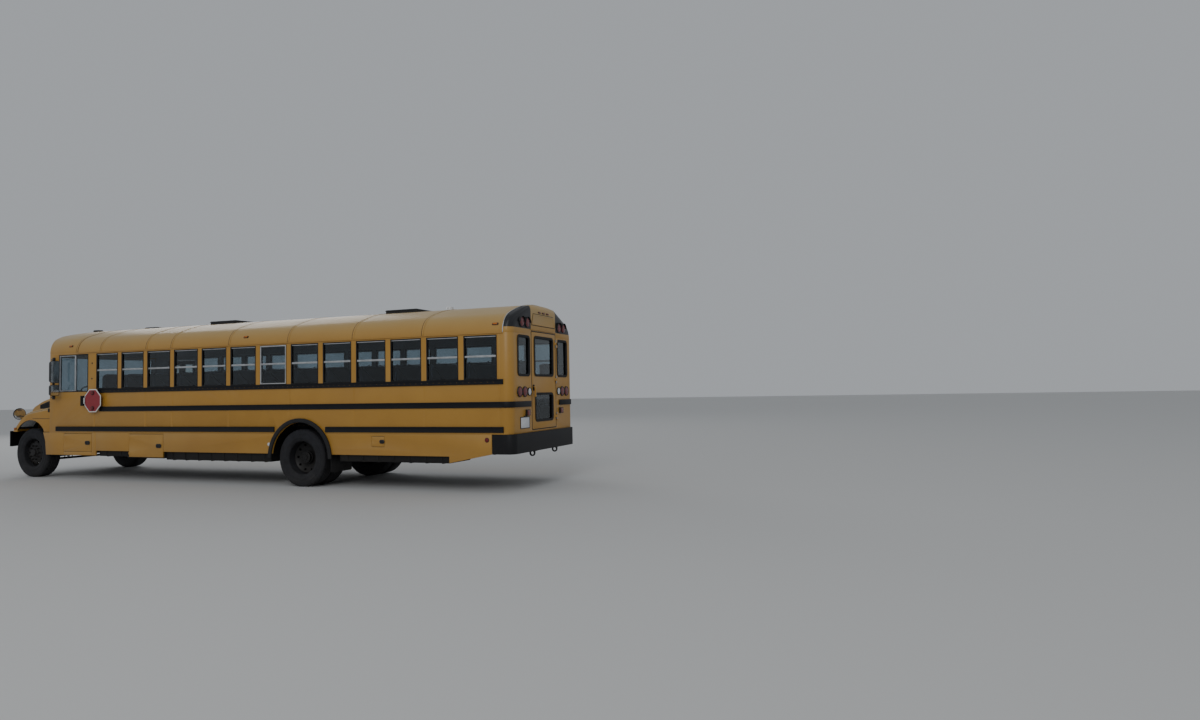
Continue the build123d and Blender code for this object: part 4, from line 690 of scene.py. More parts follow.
matt = {"Coat_Weight": 0.0, "Specular_IOR_Level": 0.28}
look = {
    "body": bodyPaint("bodyPaint", True)[0],
    "panel": bodyPaint("panelPaint", False)[0],
    "cap": capPaint(),
    "hood": hoodPaint(),
    "black": enamel("blackEnamel", "black", "blackPale", 0.50, 0.05, **matt)[0],
    "chassis": enamel("chassisBlack", "chassis", "chassisPale", 0.60, 0.08, 1.0, **matt)[0],
    "wheelBlack": enamel("wheelBlack", "chassis", "wheelPale", 0.45, 0.08, 1.0, **matt)[0],
    "white": enamel("whiteEnamel", "white", "whiteDeep", 0.35, 0.2)[0],
    "stopRed": enamel("stopRed", "red", "redDeep", 0.40, 0.1)[0],
    "plate": enamel("blankPlate", "plate", "plateDeep", 0.4, 0.2)[0],
    "tyre": rubber("tyreRubber", (0.0075, 0.008, 0.011), 0.85, 240.0, 0.10, 0.3),
    "rubber": rubber("sealRubber", (0.006, 0.006, 0.007), 0.7, 500.0, 0.08),
    "plastic": rubber("mouldedBlack", (0.008, 0.008, 0.009), 0.5, 600.0, 0.08, 0.15),
    # dark brown strips beside the roof seams: painted shade along the seam edges
    "seamShade": rubber("seamShadeStrip", (0.11, 0.065, 0.025), 0.75, 500.0, 0.0),
    "aluminium": metal("satinAluminium", (0.72, 0.73, 0.74), 0.3),
    "iron": metal("castIron", (0.045, 0.042, 0.04), 0.6, 90.0),
    "casting": metal("dullCasting", (0.12, 0.12, 0.125), 0.62, 40.0),
    "mirror": metal("mirrorGlass", (0.82, 0.84, 0.86), 0.03, 20.0),
    "glass": windowGlass("tintedGlass", (0.44, 0.53, 0.58)),
    "screen": windowGlass("clearGlass", (0.72, 0.80, 0.79)),
    "redLens": lens("redLens", (0.20, 0.004, 0.006)),
    "amberLens": lens("amberLens", (0.62, 0.17, 0.008)),
    "clearLens": lens("clearLens", (0.84, 0.86, 0.88)),
    "vinyl": seatVinyl(),
    "mat": ribbedMat(),
}
nodeLooks = {
    "body": ["rear_wall", "left_side_wall", "right_side_wall", "front_wall", "roof"],
    "cap": ["rear_roof_cap", "front_roof_cap"],
    "panel": ["rear_door", "skirt_panels", "compartment_door_front", "compartment_door_middle",
              "charge_port_flap", "hood_shell"],
    "black": ["front_bumper", "rear_bumper", "rub_rails", "roof_hatch_front", "roof_hatch_rear",
              "entry_door_front", "entry_door_rear", "stop_arm_bracket"],
    "chassis": ["chassis_frame", "equipment_bays", "battery_packs", "leaf_springs", "seat_frames"],
    "wheelBlack": ["front_rim_left", "front_rim_right", "rear_rims_left", "rear_rims_right"],
    "tyre": ["front_tyre_left", "front_tyre_right", "rear_tyres_left", "rear_tyres_right"],
    "rubber": ["wheel_flares"],
    "plastic": ["hood_grille", "dashboard", "steering_wheel", "side_mirrors", "crossview_mirrors"],
    "aluminium": ["window_sashes"], "casting": ["drive_units"],
    "iron": ["front_axle", "rear_axle", "knuckle_left", "knuckle_right", "tie_rod"],
    "glass": ["body_glass", "rear_door_glass"],
    "screen": ["entry_glass_front", "entry_glass_rear"],
    "vinyl": ["seat_cushions", "seat_backs", "driver_seat"],
    "mat": ["floor"],
    "redLens": ["red_lamps"], "amberLens": ["turn_signals"], "clearLens": ["clear_lamps", "headlamps"],
    "stopRed": ["stop_arm"],
}
for lookName, nodeNames in nodeLooks.items():
    for nodeName in nodeNames:
        dress(frame["nodes"][nodeName], look[lookName])
print("materials made")

# stage: pale floor, soft light
stageSettings = {
    "floorSize": 260, "floorColour": (0.62, 0.62, 0.61, 1), "sky": (0.86, 0.90, 0.95, 1), "skyStrength": 0.44,
    "lights": [((-10, 24, 16), 1700, 14), ((18, -16, 12), 900, 12)],      # place, power, size: key and fill
    "aim": (0, 0, 1.2),
}


def buildStage():
    s = stageSettings
    clearSelection()
    bpy.ops.mesh.primitive_plane_add(size=s["floorSize"])
    floor = bpy.context.object
    floor.name = "studioFloor"
    material, _, shader = newMaterial("studioFloor", 0.9)
    shader.inputs["Base Color"].default_value = s["floorColour"]
    dress(floor, material)
    world = bpy.data.worlds.new("studio")
    bpy.context.scene.world = world
    world.use_nodes = True
    world.node_tree.nodes["Background"].inputs[0].default_value = s["sky"]
    world.node_tree.nodes["Background"].inputs[1].default_value = s["skyStrength"]
    for place, power, size in s["lights"]:
        bpy.ops.object.light_add(type="AREA", location=place)
        light = bpy.context.object
        light.data.energy = power
        light.data.size = size
        light.rotation_euler = (Vector(s["aim"]) - Vector(place)).to_track_quat("-Z", "Y").to_euler()


buildStage()
print("stage built")

# wheels: one tyre, one disc wheel and two hubs, modelled once and copied; all pairs are (radius, distance)
tyreSettings = {
    "segments": 120, "grooves": (-0.062, -0.021, 0.021, 0.062), "grooveWidth": 0.009, "grooveDepth": 0.011,
    "treadRadius": 0.4995, "treadHalf": 0.104,
    "lugDepth": -0.008, "lugRim": 0.0025, "lugStep": 3, "sipeStep": 6, "shoulder": (0.111, 0.119),
    "outerRib": (0.067, 0.103), "ribRadius": 0.497,
    "sidewall": [(0.288, 0.104), (0.297, 0.117), (0.315, 0.127), (0.345, 0.1345), (0.352, 0.1375),
                 (0.356, 0.1375), (0.362, 0.136), (0.400, 0.1385), (0.415, 0.1385), (0.418, 0.140),
                 (0.424, 0.140), (0.427, 0.1375), (0.455, 0.134), (0.474, 0.128), (0.482, 0.121),
                 (0.4955, 0.113)],
}
wheelSettings = {
    "segments": 96,
    "rim": [(0.302, 0.113), (0.3045, 0.118), (0.300, 0.122), (0.292, 0.121), (0.281, 0.112), (0.275, 0.095),
            (0.268, 0.050)],
    "rimOutside": [(0.2868, -0.085), (0.2868, 0.085)],
    "disc": [(0.269, 0.026), (0.252, 0.043), (0.228, 0.057), (0.196, 0.068), (0.176, 0.0755), (0.165, 0.078),
             (0.100, 0.078), (0.100, 0.066), (0.163, 0.066), (0.190, 0.056), (0.222, 0.046), (0.247, 0.033),
             (0.269, 0.014)],
    "handHoles": 10, "handHoleRing": 0.224, "handHoleRadius": 0.021,
    "nuts": 10, "nutRing": 0.1427, "nutRadius": 0.0185, "studRadius": 0.0105,
}
hubSettings = {
    "front": [(0.097, 0.060), (0.097, 0.083), (0.090, 0.090), (0.075, 0.092), (0.071, 0.098), (0.070, 0.116),
              (0.062, 0.123), (0.030, 0.1255), (0.010, 0.126)],
    "frontDrum": [(0.10, 0.060), (0.196, 0.058), (0.206, 0.050), (0.206, 0.020), (0.211, 0.018),
                  (0.211, 0.010), (0.206, 0.008), (0.206, -0.020), (0.200, -0.026), (0.120, -0.026)],
    "frontBolts": (6, 0.082, 0.007, 0.088, 0.097),       # count, ring, radius, and where each begins and ends
    "rear": [(0.113, -0.090), (0.113, -0.030), (0.108, -0.022), (0.092, -0.018), (0.088, 0.020),
             (0.100, 0.024), (0.100, 0.034), (0.094, 0.038), (0.050, 0.039), (0.046, 0.048), (0.012, 0.050)],
    "rearDrum": [(0.115, -0.232), (0.166, -0.230), (0.169, -0.220), (0.169, -0.105), (0.166, -0.096),
                 (0.115, -0.094)],
    "rearBolts": (8, 0.075, 0.009, 0.036, 0.046),
}
axleSettings = {"frontX": 5.135, "rearX": -1.875, "height": 0.5, "frontY": 1.030, "outerY": 1.050,
                "innerY": 0.725}


def modelTyre():
    s = tyreSettings
    top, floor = s["treadRadius"], s["treadRadius"] - s["grooveDepth"]
    half = s["grooveWidth"] / 2
    tread = []
    for middle in s["grooves"]:
        tread += [(top, middle - half), (floor, middle - half * 0.6), (floor, middle + half * 0.6),
                  (top, middle + half)]
    profile = [(r, -y) for r, y in s["sidewall"]] + [(top, -s["treadHalf"])] + tread
    profile += [(top, s["treadHalf"])] + list(reversed(s["sidewall"]))
    tyre = turned("tyreModel", (0, 0, 0), profile, s["segments"], "Y", "loop")
    editMesh(tyre)

    def stepOf(centre):
        return int((math.atan2(centre.z, centre.x) + math.pi) / (2 * math.pi) * s["segments"] + 0.01)

    def onShoulder(centre, normal):
        low, high = s["shoulder"]
        return low < abs(centre.y) < high and stepOf(centre) % s["lugStep"] == 0

    def acrossRib(centre, normal):
        low, high = s["outerRib"]
        outside = low < abs(centre.y) < high and math.hypot(centre.x, centre.z) > s["ribRadius"]
        return outside and stepOf(centre) % s["sipeStep"] == 1

    for test in (onShoulder, acrossRib):
        pickFaces(tyre, test)
        bpy.ops.mesh.inset(thickness=s["lugRim"], depth=s["lugDepth"], use_individual=True)
    objectMode()
    return smooth(tyre, 28)


def roundTheAxle(piece, count):
    copies = [piece]
    for i in range(1, count):
        copies.append(turnMesh(copyPiece(piece), 2 * math.pi * i / count, "Y"))
    return copies


def modelDiscWheel():
    # rim, dished disc with hand holes, and wheel nuts, with the disc's outer face towards +Y
    s = wheelSettings
    barrel = s["rim"] + [(r, -y) for r, y in reversed(s["rim"])] + s["rimOutside"]
    rim = turned("wheelModel", (0, 0, 0), barrel, s["segments"], "Y", "loop")
    disc = turned("discModel", (0, 0, 0), s["disc"], s["segments"], "Y", "loop")
    clearSelection()
    ring, cutters = s["handHoleRing"], []
    for i in range(s["handHoles"]):
        angle = 2 * math.pi * i / s["handHoles"]
        cutters.append(addRod(20, s["handHoleRadius"], 0.2,
                              (ring * math.cos(angle), 0.04, ring * math.sin(angle))))
    cutter = joinPieces("handHoleCutter", cutters)
    onlyActive(disc)
    cut = disc.modifiers.new("hand holes", "BOOLEAN")
    cut.operation = "DIFFERENCE"
    cut.object = cutter
    bpy.ops.object.modifier_apply(modifier="hand holes")
    bpy.data.objects.remove(cutter)
    smooth(disc, 30)
    clearSelection()
    nut = bevelAll(addRod(6, s["nutRadius"], 0.022, (s["nutRing"], 0.089, 0)), 0.0015, 1)
    stud = bevelSharp(addRod(12, s["studRadius"], 0.044, (s["nutRing"], 0.096, 0)), 0.001, 1)
    nuts = roundTheAxle(joinPieces("nutModel", [nut, stud]), s["nuts"])
    return joinPieces("wheelModel", [rim, disc] + nuts)


def boltCircle(count, ring, radius, low, high):
    clearSelection()
    bolt = addRod(6, radius, high - low, (ring, (low + high) / 2, 0))
    return roundTheAxle(bevelAll(bolt, radius * 0.12, 1), count)


def modelHub(end):
    # a hub, its brake drum and its bolts, for the front or the rear
    s = hubSettings
    hub = turned(end + "HubModel", (0, 0, 0), s[end], 40)
    drum = turned(end + "DrumModel", (0, 0, 0), s[end + "Drum"], 64)
    return dress(joinPieces(end + "HubModel", [hub, drum] + boltCircle(*s[end + "Bolts"])),
                 look["wheelBlack"])


def buildWheels():
    s = axleSettings
    tyre = dress(modelTyre(), look["tyre"])
    wheel = dress(modelDiscWheel(), look["wheelBlack"])
    frontHub, rearHub = modelHub("front"), modelHub("rear")
    for side, word in ((1, "left"), (-1, "right")):
        body, name = "front_" + word + "_wheel", word.capitalize()
        place, turn = (s["frontX"], side * s["frontY"], s["height"]), side < 0
        ready(copyPiece(tyre, place, turn, "frontTyre" + name), body, ["front_tyre_" + word])
        parts = [copyPiece(wheel, place, turn), copyPiece(frontHub, place, turn)]
        ready(joinPieces("frontWheel" + name, parts), body, ["front_rim_" + word])
        body = "rear_" + word + "_wheels"
        outer, inner = ((s["rearX"], side * s[y], s["height"]) for y in ("outerY", "innerY"))
        twins = [copyPiece(tyre, outer, turn), copyPiece(tyre, inner, turn)]
        ready(joinPieces("rearTyres" + name, twins), body, ["rear_tyres_" + word])
        # the outer wheel's dish faces inwards
        parts = [copyPiece(wheel, outer, not turn), copyPiece(wheel, inner, turn),
                 copyPiece(rearHub, outer, turn)]
        ready(joinPieces("rearWheels" + name, parts), body, ["rear_rims_" + word])
    for model in (tyre, wheel, frontHub, rearHub):
        bpy.data.objects.remove(model)


buildWheels()
print("wheels built")

# painted panels: merged copies of the CAD panels with rounded edges
panelSettings = [
    # node, piece, look, slot, edge radius, and segments and least angle where they differ
    ("left_side_wall", "leftSidePanels", "body", "yellow", 0.0025),
    ("right_side_wall", "rightSidePanels", "body", "yellow", 0.0025),
    ("rear_wall", "rearWallPanel", "body", "yellow", 0.0030),
    ("front_wall", "frontWallPanel", "body", "yellow", 0.0030),
    ("rear_roof_cap", "rearCap", "cap", "yellow", 0.0025),
    ("front_roof_cap", "frontCap", "cap", "yellow", 0.0025),
    ("rear_door", "rearDoorPanel", "panel", "yellow", 0.0040),
    ("skirt_panels", "skirtPanels", "panel", "yellow", 0.0040),
    ("compartment_door_front", "frontBayDoor", "panel", "yellow", 0.0030),
    ("compartment_door_middle", "middleBayDoor", "panel", "yellow", 0.0030),
    ("charge_port_flap", "chargeFlap", "panel", "yellow", 0.0030),
    ("front_bumper", "frontBumper", "black", "black_steel", 0.0030),
    ("rear_bumper", "rearBumper", "black", "black_steel", 0.0040),
    ("entry_door_front", "entryLeafFront", "black", "black_paint", 0.0040),
    ("entry_door_rear", "entryLeafRear", "black", "black_paint", 0.0040),
    ("wheel_flares", "wheelFlares", "rubber", "black_rubber", 0.0060),
    ("stop_arm_bracket", "stopArmBracket", "black", "black_steel", 0.0040),
    ("hood_shell", "hoodSkin", "hood", "yellow", 0.0140, 3, 25),
]
bodyOf = {node: body for body, nodes in frame["record"]["behaviour"]["bodies"].items() for node in nodes}
latchedPanels = ("compartment_door_front", "compartment_door_middle", "charge_port_flap")


def flattenLatch(panel):
    # the yellow block under each latch goes flat, and the black latch stands in its place
    editMesh(panel)
    pickVertices(panel, lambda place: place.y > 1.2205)
    bpy.ops.transform.resize(value=(1, 0, 1), center_override=(0, 1.2196, 0))
    bpy.ops.mesh.select_all(action="SELECT")
    bpy.ops.mesh.remove_doubles(threshold=0.0001)
    objectMode()


def easeCopies(*rows):
    for node, pieceName, lookName, slotName, radius, *shape in rows:
        panel = dress(cadCopy(node, pieceName, radius, *shape), look[lookName])
        if node in latchedPanels:
            flattenLatch(panel)
        ready(panel, bodyOf[node], [node])


easeCopies(*panelSettings)
print("panels built")

# side windows: rubber seals, bright sash rails, and one whole bright frame at the emergency window
windowSettings = {
    "firstX": 3.187, "pitch": 0.6953, "width": 0.596, "count": 13, "low": 1.790, "high": 2.490,
    "seal": 0.017, "inY": 1.166, "outY": 1.2225,
    # top rail, middle rail, its lip and two catches: low and high corners, and the edge
    "sash": [((0.017, 1.176, 2.460), (0.579, 1.214, 2.474), 0.0025),
             ((0.017, 1.180, 2.149), (0.579, 1.2155, 2.171), 0.003),
             ((0.017, 1.196, 2.140), (0.579, 1.2175, 2.148), 0.002),
             ((0.070, 1.170, 2.170), (0.105, 1.184, 2.190), 0.003),
             ((0.491, 1.170, 2.170), (0.526, 1.184, 2.190), 0.003)],
    "exit": 6, "exitY": (1.190, 1.2265), "exitGap": 0.008, "exitWidth": 0.018,
    "driver": (3.419, 4.269, 1.736, 2.490), "driverBar": (3.779, 3.793, 3.799),
}


def windowSpans():
    s = windowSettings
    fronts = [s["firstX"] - s["pitch"] * i for i in range(s["count"])]
    return [(front - s["width"], front) for front in fronts]


def buildSideWindows():
    s = windowSettings
    seals, rails = [], []
    seal = addFrame("sealModel", (0, s["inY"], s["low"]), (s["width"], s["outY"], s["high"]), s["seal"])
    rail = joinPieces("railModel", [addBox("railModel", low, high, edge) for low, high, edge in s["sash"]])
    gap = s["exitGap"]
    for i, (rear, front) in enumerate(windowSpans()):
        for side in (1, -1):
            shift = (rear if side > 0 else front, 0, 0)
            seals.append(copyPiece(seal, shift, side < 0))
            rails.append(copyPiece(rail, shift, side < 0))
            if i == s["exit"]:
                ring = addFrame("exitFrame", (rear + gap, s["exitY"][0], s["low"] + gap),
                                (front - gap, s["exitY"][1], s["high"] - gap), s["exitWidth"])
                rails.append(ring if side > 0 else mirrored(ring))
    # the driver's window: its seal, the bright front half and the bar between the halves
    rear, front, low, high = s["driver"]
    barRear, sashRear, barFront = s["driverBar"]
    seals.append(addFrame("driverSeal", (rear, s["inY"], low), (front, s["outY"], high), s["seal"]))
    low, high = low + s["seal"], high - s["seal"]
    rails.append(addFrame("driverSash", (sashRear, 1.184, low), (front - s["seal"], 1.2185, high), 0.016))
    rails.append(addBox("driverBar", (barRear, 1.186, low), (barFront, 1.215, high), 0.003))
    for model in (seal, rail):
        bpy.data.objects.remove(model)
    mount("sideWindowSeals", seals, "rubber")
    mount("sideWindowSashes", rails, "aluminium", replaced=["window_sashes"])


buildSideWindows()
print("side windows built")

# rub rails and drip rails
railSettings = {
    "rails": [(-5.862, 3.127, 1.710, 1.790), (-5.865, 3.077, 1.343, 1.436), (-5.862, -2.432, 0.952, 1.045),
              (-1.318, 4.329, 0.952, 1.045)],
    "wallY": 1.219, "depth": 0.020, "channel": 0.006, "rightEnd": 3.280,
    "cornerX": -5.865, "cornerRadius": 0.130, "cornerSteps": 8, "tailZ": 1.3895, "tailHeight": 0.093,
    "tailEnds": [(1, 0.540), (-1, -0.610)],
    "drip": (-5.86, 3.74, 2.512, 2.524), "dripY": (1.215, 1.236),
}


def tailRails():
    # the middle rail goes on round each corner of the tail, to beside the rear door
    s = railSettings
    rails = []
    for side, end in s["tailEnds"]:
        clearSelection()
        bpy.ops.mesh.primitive_plane_add(size=1, rotation=(0, math.pi / 2, 0))
        rail = settle(bpy.context.object)
        editMesh(rail, "SELECT")
        bpy.ops.transform.resize(value=(1, s["depth"], s["tailHeight"]))
        bpy.ops.transform.translate(value=(s["cornerX"], side * (s["wallY"] + s["depth"] / 2), s["tailZ"]))
        cornerY = side * (s["wallY"] - s["cornerRadius"])
        for _ in range(s["cornerSteps"]):
            bpy.ops.mesh.extrude_region()
            bpy.ops.transform.rotate(value=-side * math.pi / 2 / s["cornerSteps"], orient_axis="Z",
                                     center_override=(s["cornerX"], cornerY, 0))
        bpy.ops.mesh.extrude_region()
        bpy.ops.transform.translate(value=(0, end - cornerY, 0))
        pointOut()
        objectMode()
        rails.append(bevelSharp(rail, 0.004, 2, 60))
    return rails


def buildRubRails():
    s = railSettings
    rails, drips = [], []
    for rear, front, low, high in s["rails"]:
        for side in (1, -1):
            end = front if side > 0 else min(front, s["rightEnd"])
            rail = addBox("rubRail", (rear, side * s["wallY"], low),
                          (end, side * (s["wallY"] + s["depth"]), high))
            insetFaces(rail, facing("Y", side), (0.016, 0), (0.004, -s["channel"]))
            rails.append(bevelSharp(rail, 0.004, 2, 40))
    mount("rubRails", rails + tailRails(), "black", replaced=["rub_rails"], angle=35)
    rear, front, low, high = s["drip"]
    inner, outer = s["dripY"]
    for side in (1, -1):
        drip = addBox("dripRail", (rear, side * inner, low), (front, side * outer, high))
        insetFaces(drip, facing("Z"), (0.004, -0.005))
        drips.append(bevelSharp(drip, 0.0015, 2, 40))
    mount("dripRails", drips, "panel", angle=35)


buildRubRails()
print("rails built")

# the roof's section: two corners round a flatter crown
roofForm = {"halfWidth": 1.219, "cornerY": 0.869, "cornerRadius": 0.350, "springZ": 2.5215,
            "crownZ": 0.555, "crownRadius": 2.5, "knee": math.radians(66.16), "steps": (10, 14)}


def roofStrip(name, x, width, proud, thick):
    # a strap across the roof, spun round its two corners and its crown from one short edge
    f = roofForm
    clearSelection()
    bpy.ops.mesh.primitive_plane_add(size=1)
    strip = bpy.context.object
    strip.name = name
    editMesh(strip, "SELECT")
    bpy.ops.transform.resize(value=(width, 0.001, 1))
    bpy.ops.transform.rotate(value=math.pi / 2, orient_axis="X", center_override=(0, 0, 0))
    bpy.ops.transform.translate(value=(x, f["halfWidth"] + proud, f["springZ"] - 0.0005))
    pickEdges(strip, lambda a, b: min(a.z, b.z) > f["springZ"] - 0.0002)
    corner, crown = f["steps"]
    for y, z, angle, count in ((f["cornerY"], f["springZ"], f["knee"], corner),
                               (0, f["crownZ"], math.pi - 2 * f["knee"], crown),
                               (-f["cornerY"], f["springZ"], f["knee"], corner)):
        bpy.ops.mesh.spin(steps=count, angle=angle, center=(x, y, z), axis=(-1, 0, 0))
    bpy.ops.mesh.select_all(action="SELECT")
    bpy.ops.mesh.remove_doubles(threshold=0.0002)
    objectMode()
    solid = strip.modifiers.new("thickness", "SOLIDIFY")
    solid.thickness = thick
    solid.offset = -1
    bpy.ops.object.modifier_apply(modifier="thickness")
    editMesh(strip)
    pointOut()
    objectMode()
    return smooth(strip, 40)


def roofPlace(angle):
    # a point of the roof's section and its outward direction, for an angle from the spring line over the top
    f = roofForm
    direction = (0, math.cos(angle), math.sin(angle))
    if f["knee"] <= angle <= math.pi - f["knee"]:
        return (f["crownRadius"] * direction[1], f["crownZ"] + f["crownRadius"] * direction[2]), direction
    middle = f["cornerY"] if angle < f["knee"] else -f["cornerY"]
    return (middle + f["cornerRadius"] * direction[1],
            f["springZ"] + f["cornerRadius"] * direction[2]), direction


# tail end: lamps, window rubbers, sign board, door hardware and plate
tailSettings = {
    "tailX": -5.995,
    "lamps": [   # Y, Z, radius, depth, how far the lens swells
        (0.830, 2.710, 0.085, 0.024, 0.45), (0.630, 2.710, 0.085, 0.024, 0.45),
        (0.930, 1.587, 0.086, 0.025, 0.30), (0.745, 1.587, 0.086, 0.025, 0.30),
        (0.582, 1.587, 0.066, 0.024, 0.30)],
    "warningZ": 2.710, "reverseY": 0.582,
    "visor": [(0.092, -0.018), (0.095, -0.018), (0.095, 0.016), (0.092, 0.016)],
    "small": (0.605, 0.725, 1.199, 1.299), "smallDepth": 0.037,
    "clearance": (-0.16, 0.0, 0.16),
    "windows": [(0.5555, 0.9745, 1.853, 2.485), (-0.9745, -0.5555, 1.853, 2.485)],
    "doorWindows": [(-0.368, 0.368, 1.855, 2.495), (-0.347, 0.347, 1.102, 1.550)],
    "sign": (0.455, 0.395, 2.690, 2.872), "signEdge": (0.011, 0.010),
}
frontLampSettings = {"places": ((0.830, 2.6115), (0.630, 2.6115)), "radius": 0.085, "depth": 0.022,
                     "capX": 4.535, "capReach": 0.340, "halfWidth": 1.219}
strobeSettings = {
    "place": (-4.165, 0, 3.055), "base": [(0.069, -0.004), (0.069, 0.016), (0.062, 0.022), (0.050, 0.024)],
    "dome": [(0.060, 0.020), (0.060, 0.054), (0.054, 0.069), (0.040, 0.078), (0.020, 0.082), (0.003, 0.0828)],
}


def roundLamp(place, radius, depth, way, swell):
    # bezel and lens of a round lamp that looks along +X (way 1) or -X (way -1)
    ring = [(0.86, 0.0), (0.86, 0.62), (0.90, 0.78), (0.96, 0.74), (1.0, 0.5), (1.0, 0.0)]
    bezel = turned("bezelModel", (0, 0, 0), [(radius * r, depth * d) for r, d in ring], 36, "X", "loop")
    swollen = [(0.72, 0.3), (0.5, 0.55), (0.25, 0.72), (0.04, 0.78)]
    profile = [(radius * 0.87, 0.002), (radius * 0.87, depth * 0.55)]
    profile += [(radius * r, depth * (0.62 + swell * d)) for r, d in swollen]
    lamp = turned("lensModel", (0, 0, 0), profile, 36, "X")
    for piece in (bezel, lamp):
        if way < 0:
            turnMesh(piece, math.pi)
        moveMesh(piece, place)
    return bezel, lamp


def lampVisor(x, y, z):
    # the upper half of a short tube over a warning lamp
    visor = turned("visorModel", (x, y, z), tailSettings["visor"], 36, "X", "loop")
    editMesh(visor)
    pickFaces(visor, lambda centre, normal: centre.z < z - 0.005)
    bpy.ops.mesh.delete(type="FACE")
    bpy.ops.mesh.select_mode(type="EDGE")
    bpy.ops.mesh.select_all(action="DESELECT")
    bpy.ops.mesh.select_non_manifold(extend=False)
    bpy.ops.mesh.edge_face_add()
    objectMode()
    return visor


def buildTailLamps():
    s = tailSettings
    x = s["tailX"]
    bezels, redLenses, clearLenses = [], [], []
    for y, z, radius, depth, swell in s["lamps"]:
        for side in (-1, 1):
            bezel, lamp = roundLamp((x, side * y, z), radius, depth, -1, swell)
            bezels.append(bezel)
            if z == s["warningZ"]:
                bezels.append(lampVisor(x - 0.017, side * y, z))
            (clearLenses if y == s["reverseY"] else redLenses).append(lamp)
    inner, outer, low, high = s["small"]
    for side in (-1, 1):
        rear, (lowY, highY) = x - s["smallDepth"], across(side, inner, outer)
        bezels.append(roundedFrame("smallBezel", (rear, lowY, low), (x, highY, high), 0, 0.012, 0.010))
        redLenses.append(roundedBlock("smallLens", (rear - 0.002, lowY + 0.009, low + 0.009),
                                      (x - 0.001, highY - 0.009, high - 0.009), 0, 0.010))
    for y in s["clearance"]:       # three lamps over the sign
        bezels.append(roundedBlock("clearanceBase", (x - 0.010, y - 0.048, 2.900),
                                   (x, y + 0.048, 2.924), 0, 0.010))
        redLenses.append(roundedBlock("clearanceLens", (x - 0.022, y - 0.036, 2.903),
                                      (x - 0.009, y + 0.036, 2.921), 0, 0.008))
    return bezels, redLenses, clearLenses


def windowRubbers(windows):
    # an outer and an inner rubber for each window of the tail
    # name, near and far X, gap round the glass, corner radius, width, edge
    rubberSizes = [("windowRubber", -0.010, 0.020, 0.018, 0.075, 0.040, 0.005),
                   ("innerRubber", 0.030, 0.052, 0.012, 0.070, 0.036, 0.004)]
    x = tailSettings["tailX"]
    seals = []
    for lowY, highY, lowZ, highZ in windows:
        for name, near, far, gap, radius, width, edge in rubberSizes:
            seals.append(roundedFrame(name, (x + near, lowY - gap, lowZ - gap),
                                      (x + far, highY + gap, highZ + gap), 0, radius, width, edge))
    return seals


def frontLamps():
    # warning lamps on the front cap, each turned to the cap's curve
    s = frontLampSettings
    bezels, lenses = [], []
    radius = (s["halfWidth"] ** 2 + s["capReach"] ** 2) / (2 * s["capReach"])
    middle = s["capX"] + s["capReach"] - radius
    for y, z in s["places"]:
        for side in (-1, 1):
            angle = math.asin(side * y / radius)
            pair = roundLamp((0, 0, 0), s["radius"], s["depth"], 1, 0.45)
            for piece in pair:
                moveMesh(turnMesh(piece, angle), (middle + radius * math.cos(angle), side * y, z))
            bezels.append(pair[0])
            lenses.append(pair[1])
    return bezels, lenses


def buildSignBoard():
    # a blank panel in a raised frame, narrower towards the top, with a black edge and a drip lip under it
    s = tailSettings
    x, (wide, narrow, low, high) = s["tailX"], s["sign"]
    sideways, upwards = s["signEdge"]
    board = addBox("signBoard", (x - 0.010, -wide, low), (x, wide, high))
    edge = addBox("signEdge", (x - 0.003, -wide - sideways, low - upwards),
                  (x, wide + sideways, high + upwards))
    for piece in (board, edge):
        editMesh(piece)
        pickFaces(piece, facing("Z"))
        bpy.ops.transform.resize(value=(1, narrow / wide, 1), center_override=(x, 0, high))
        objectMode()
    mount("signEdge", [bevelSharp(edge, 0.001, 2, 50)], "rubber")
    bevelSharp(insetFaces(board, facing("X", -1), (0.016, 0), (0.004, -0.006)), 0.003, 2, 50)
    lip = addBox("dripLip", (x - 0.020, -0.52, 2.604), (x, 0.52, 2.614), 0.003)
    mount("rearSignBoard", [board, lip], "panel", angle=35)


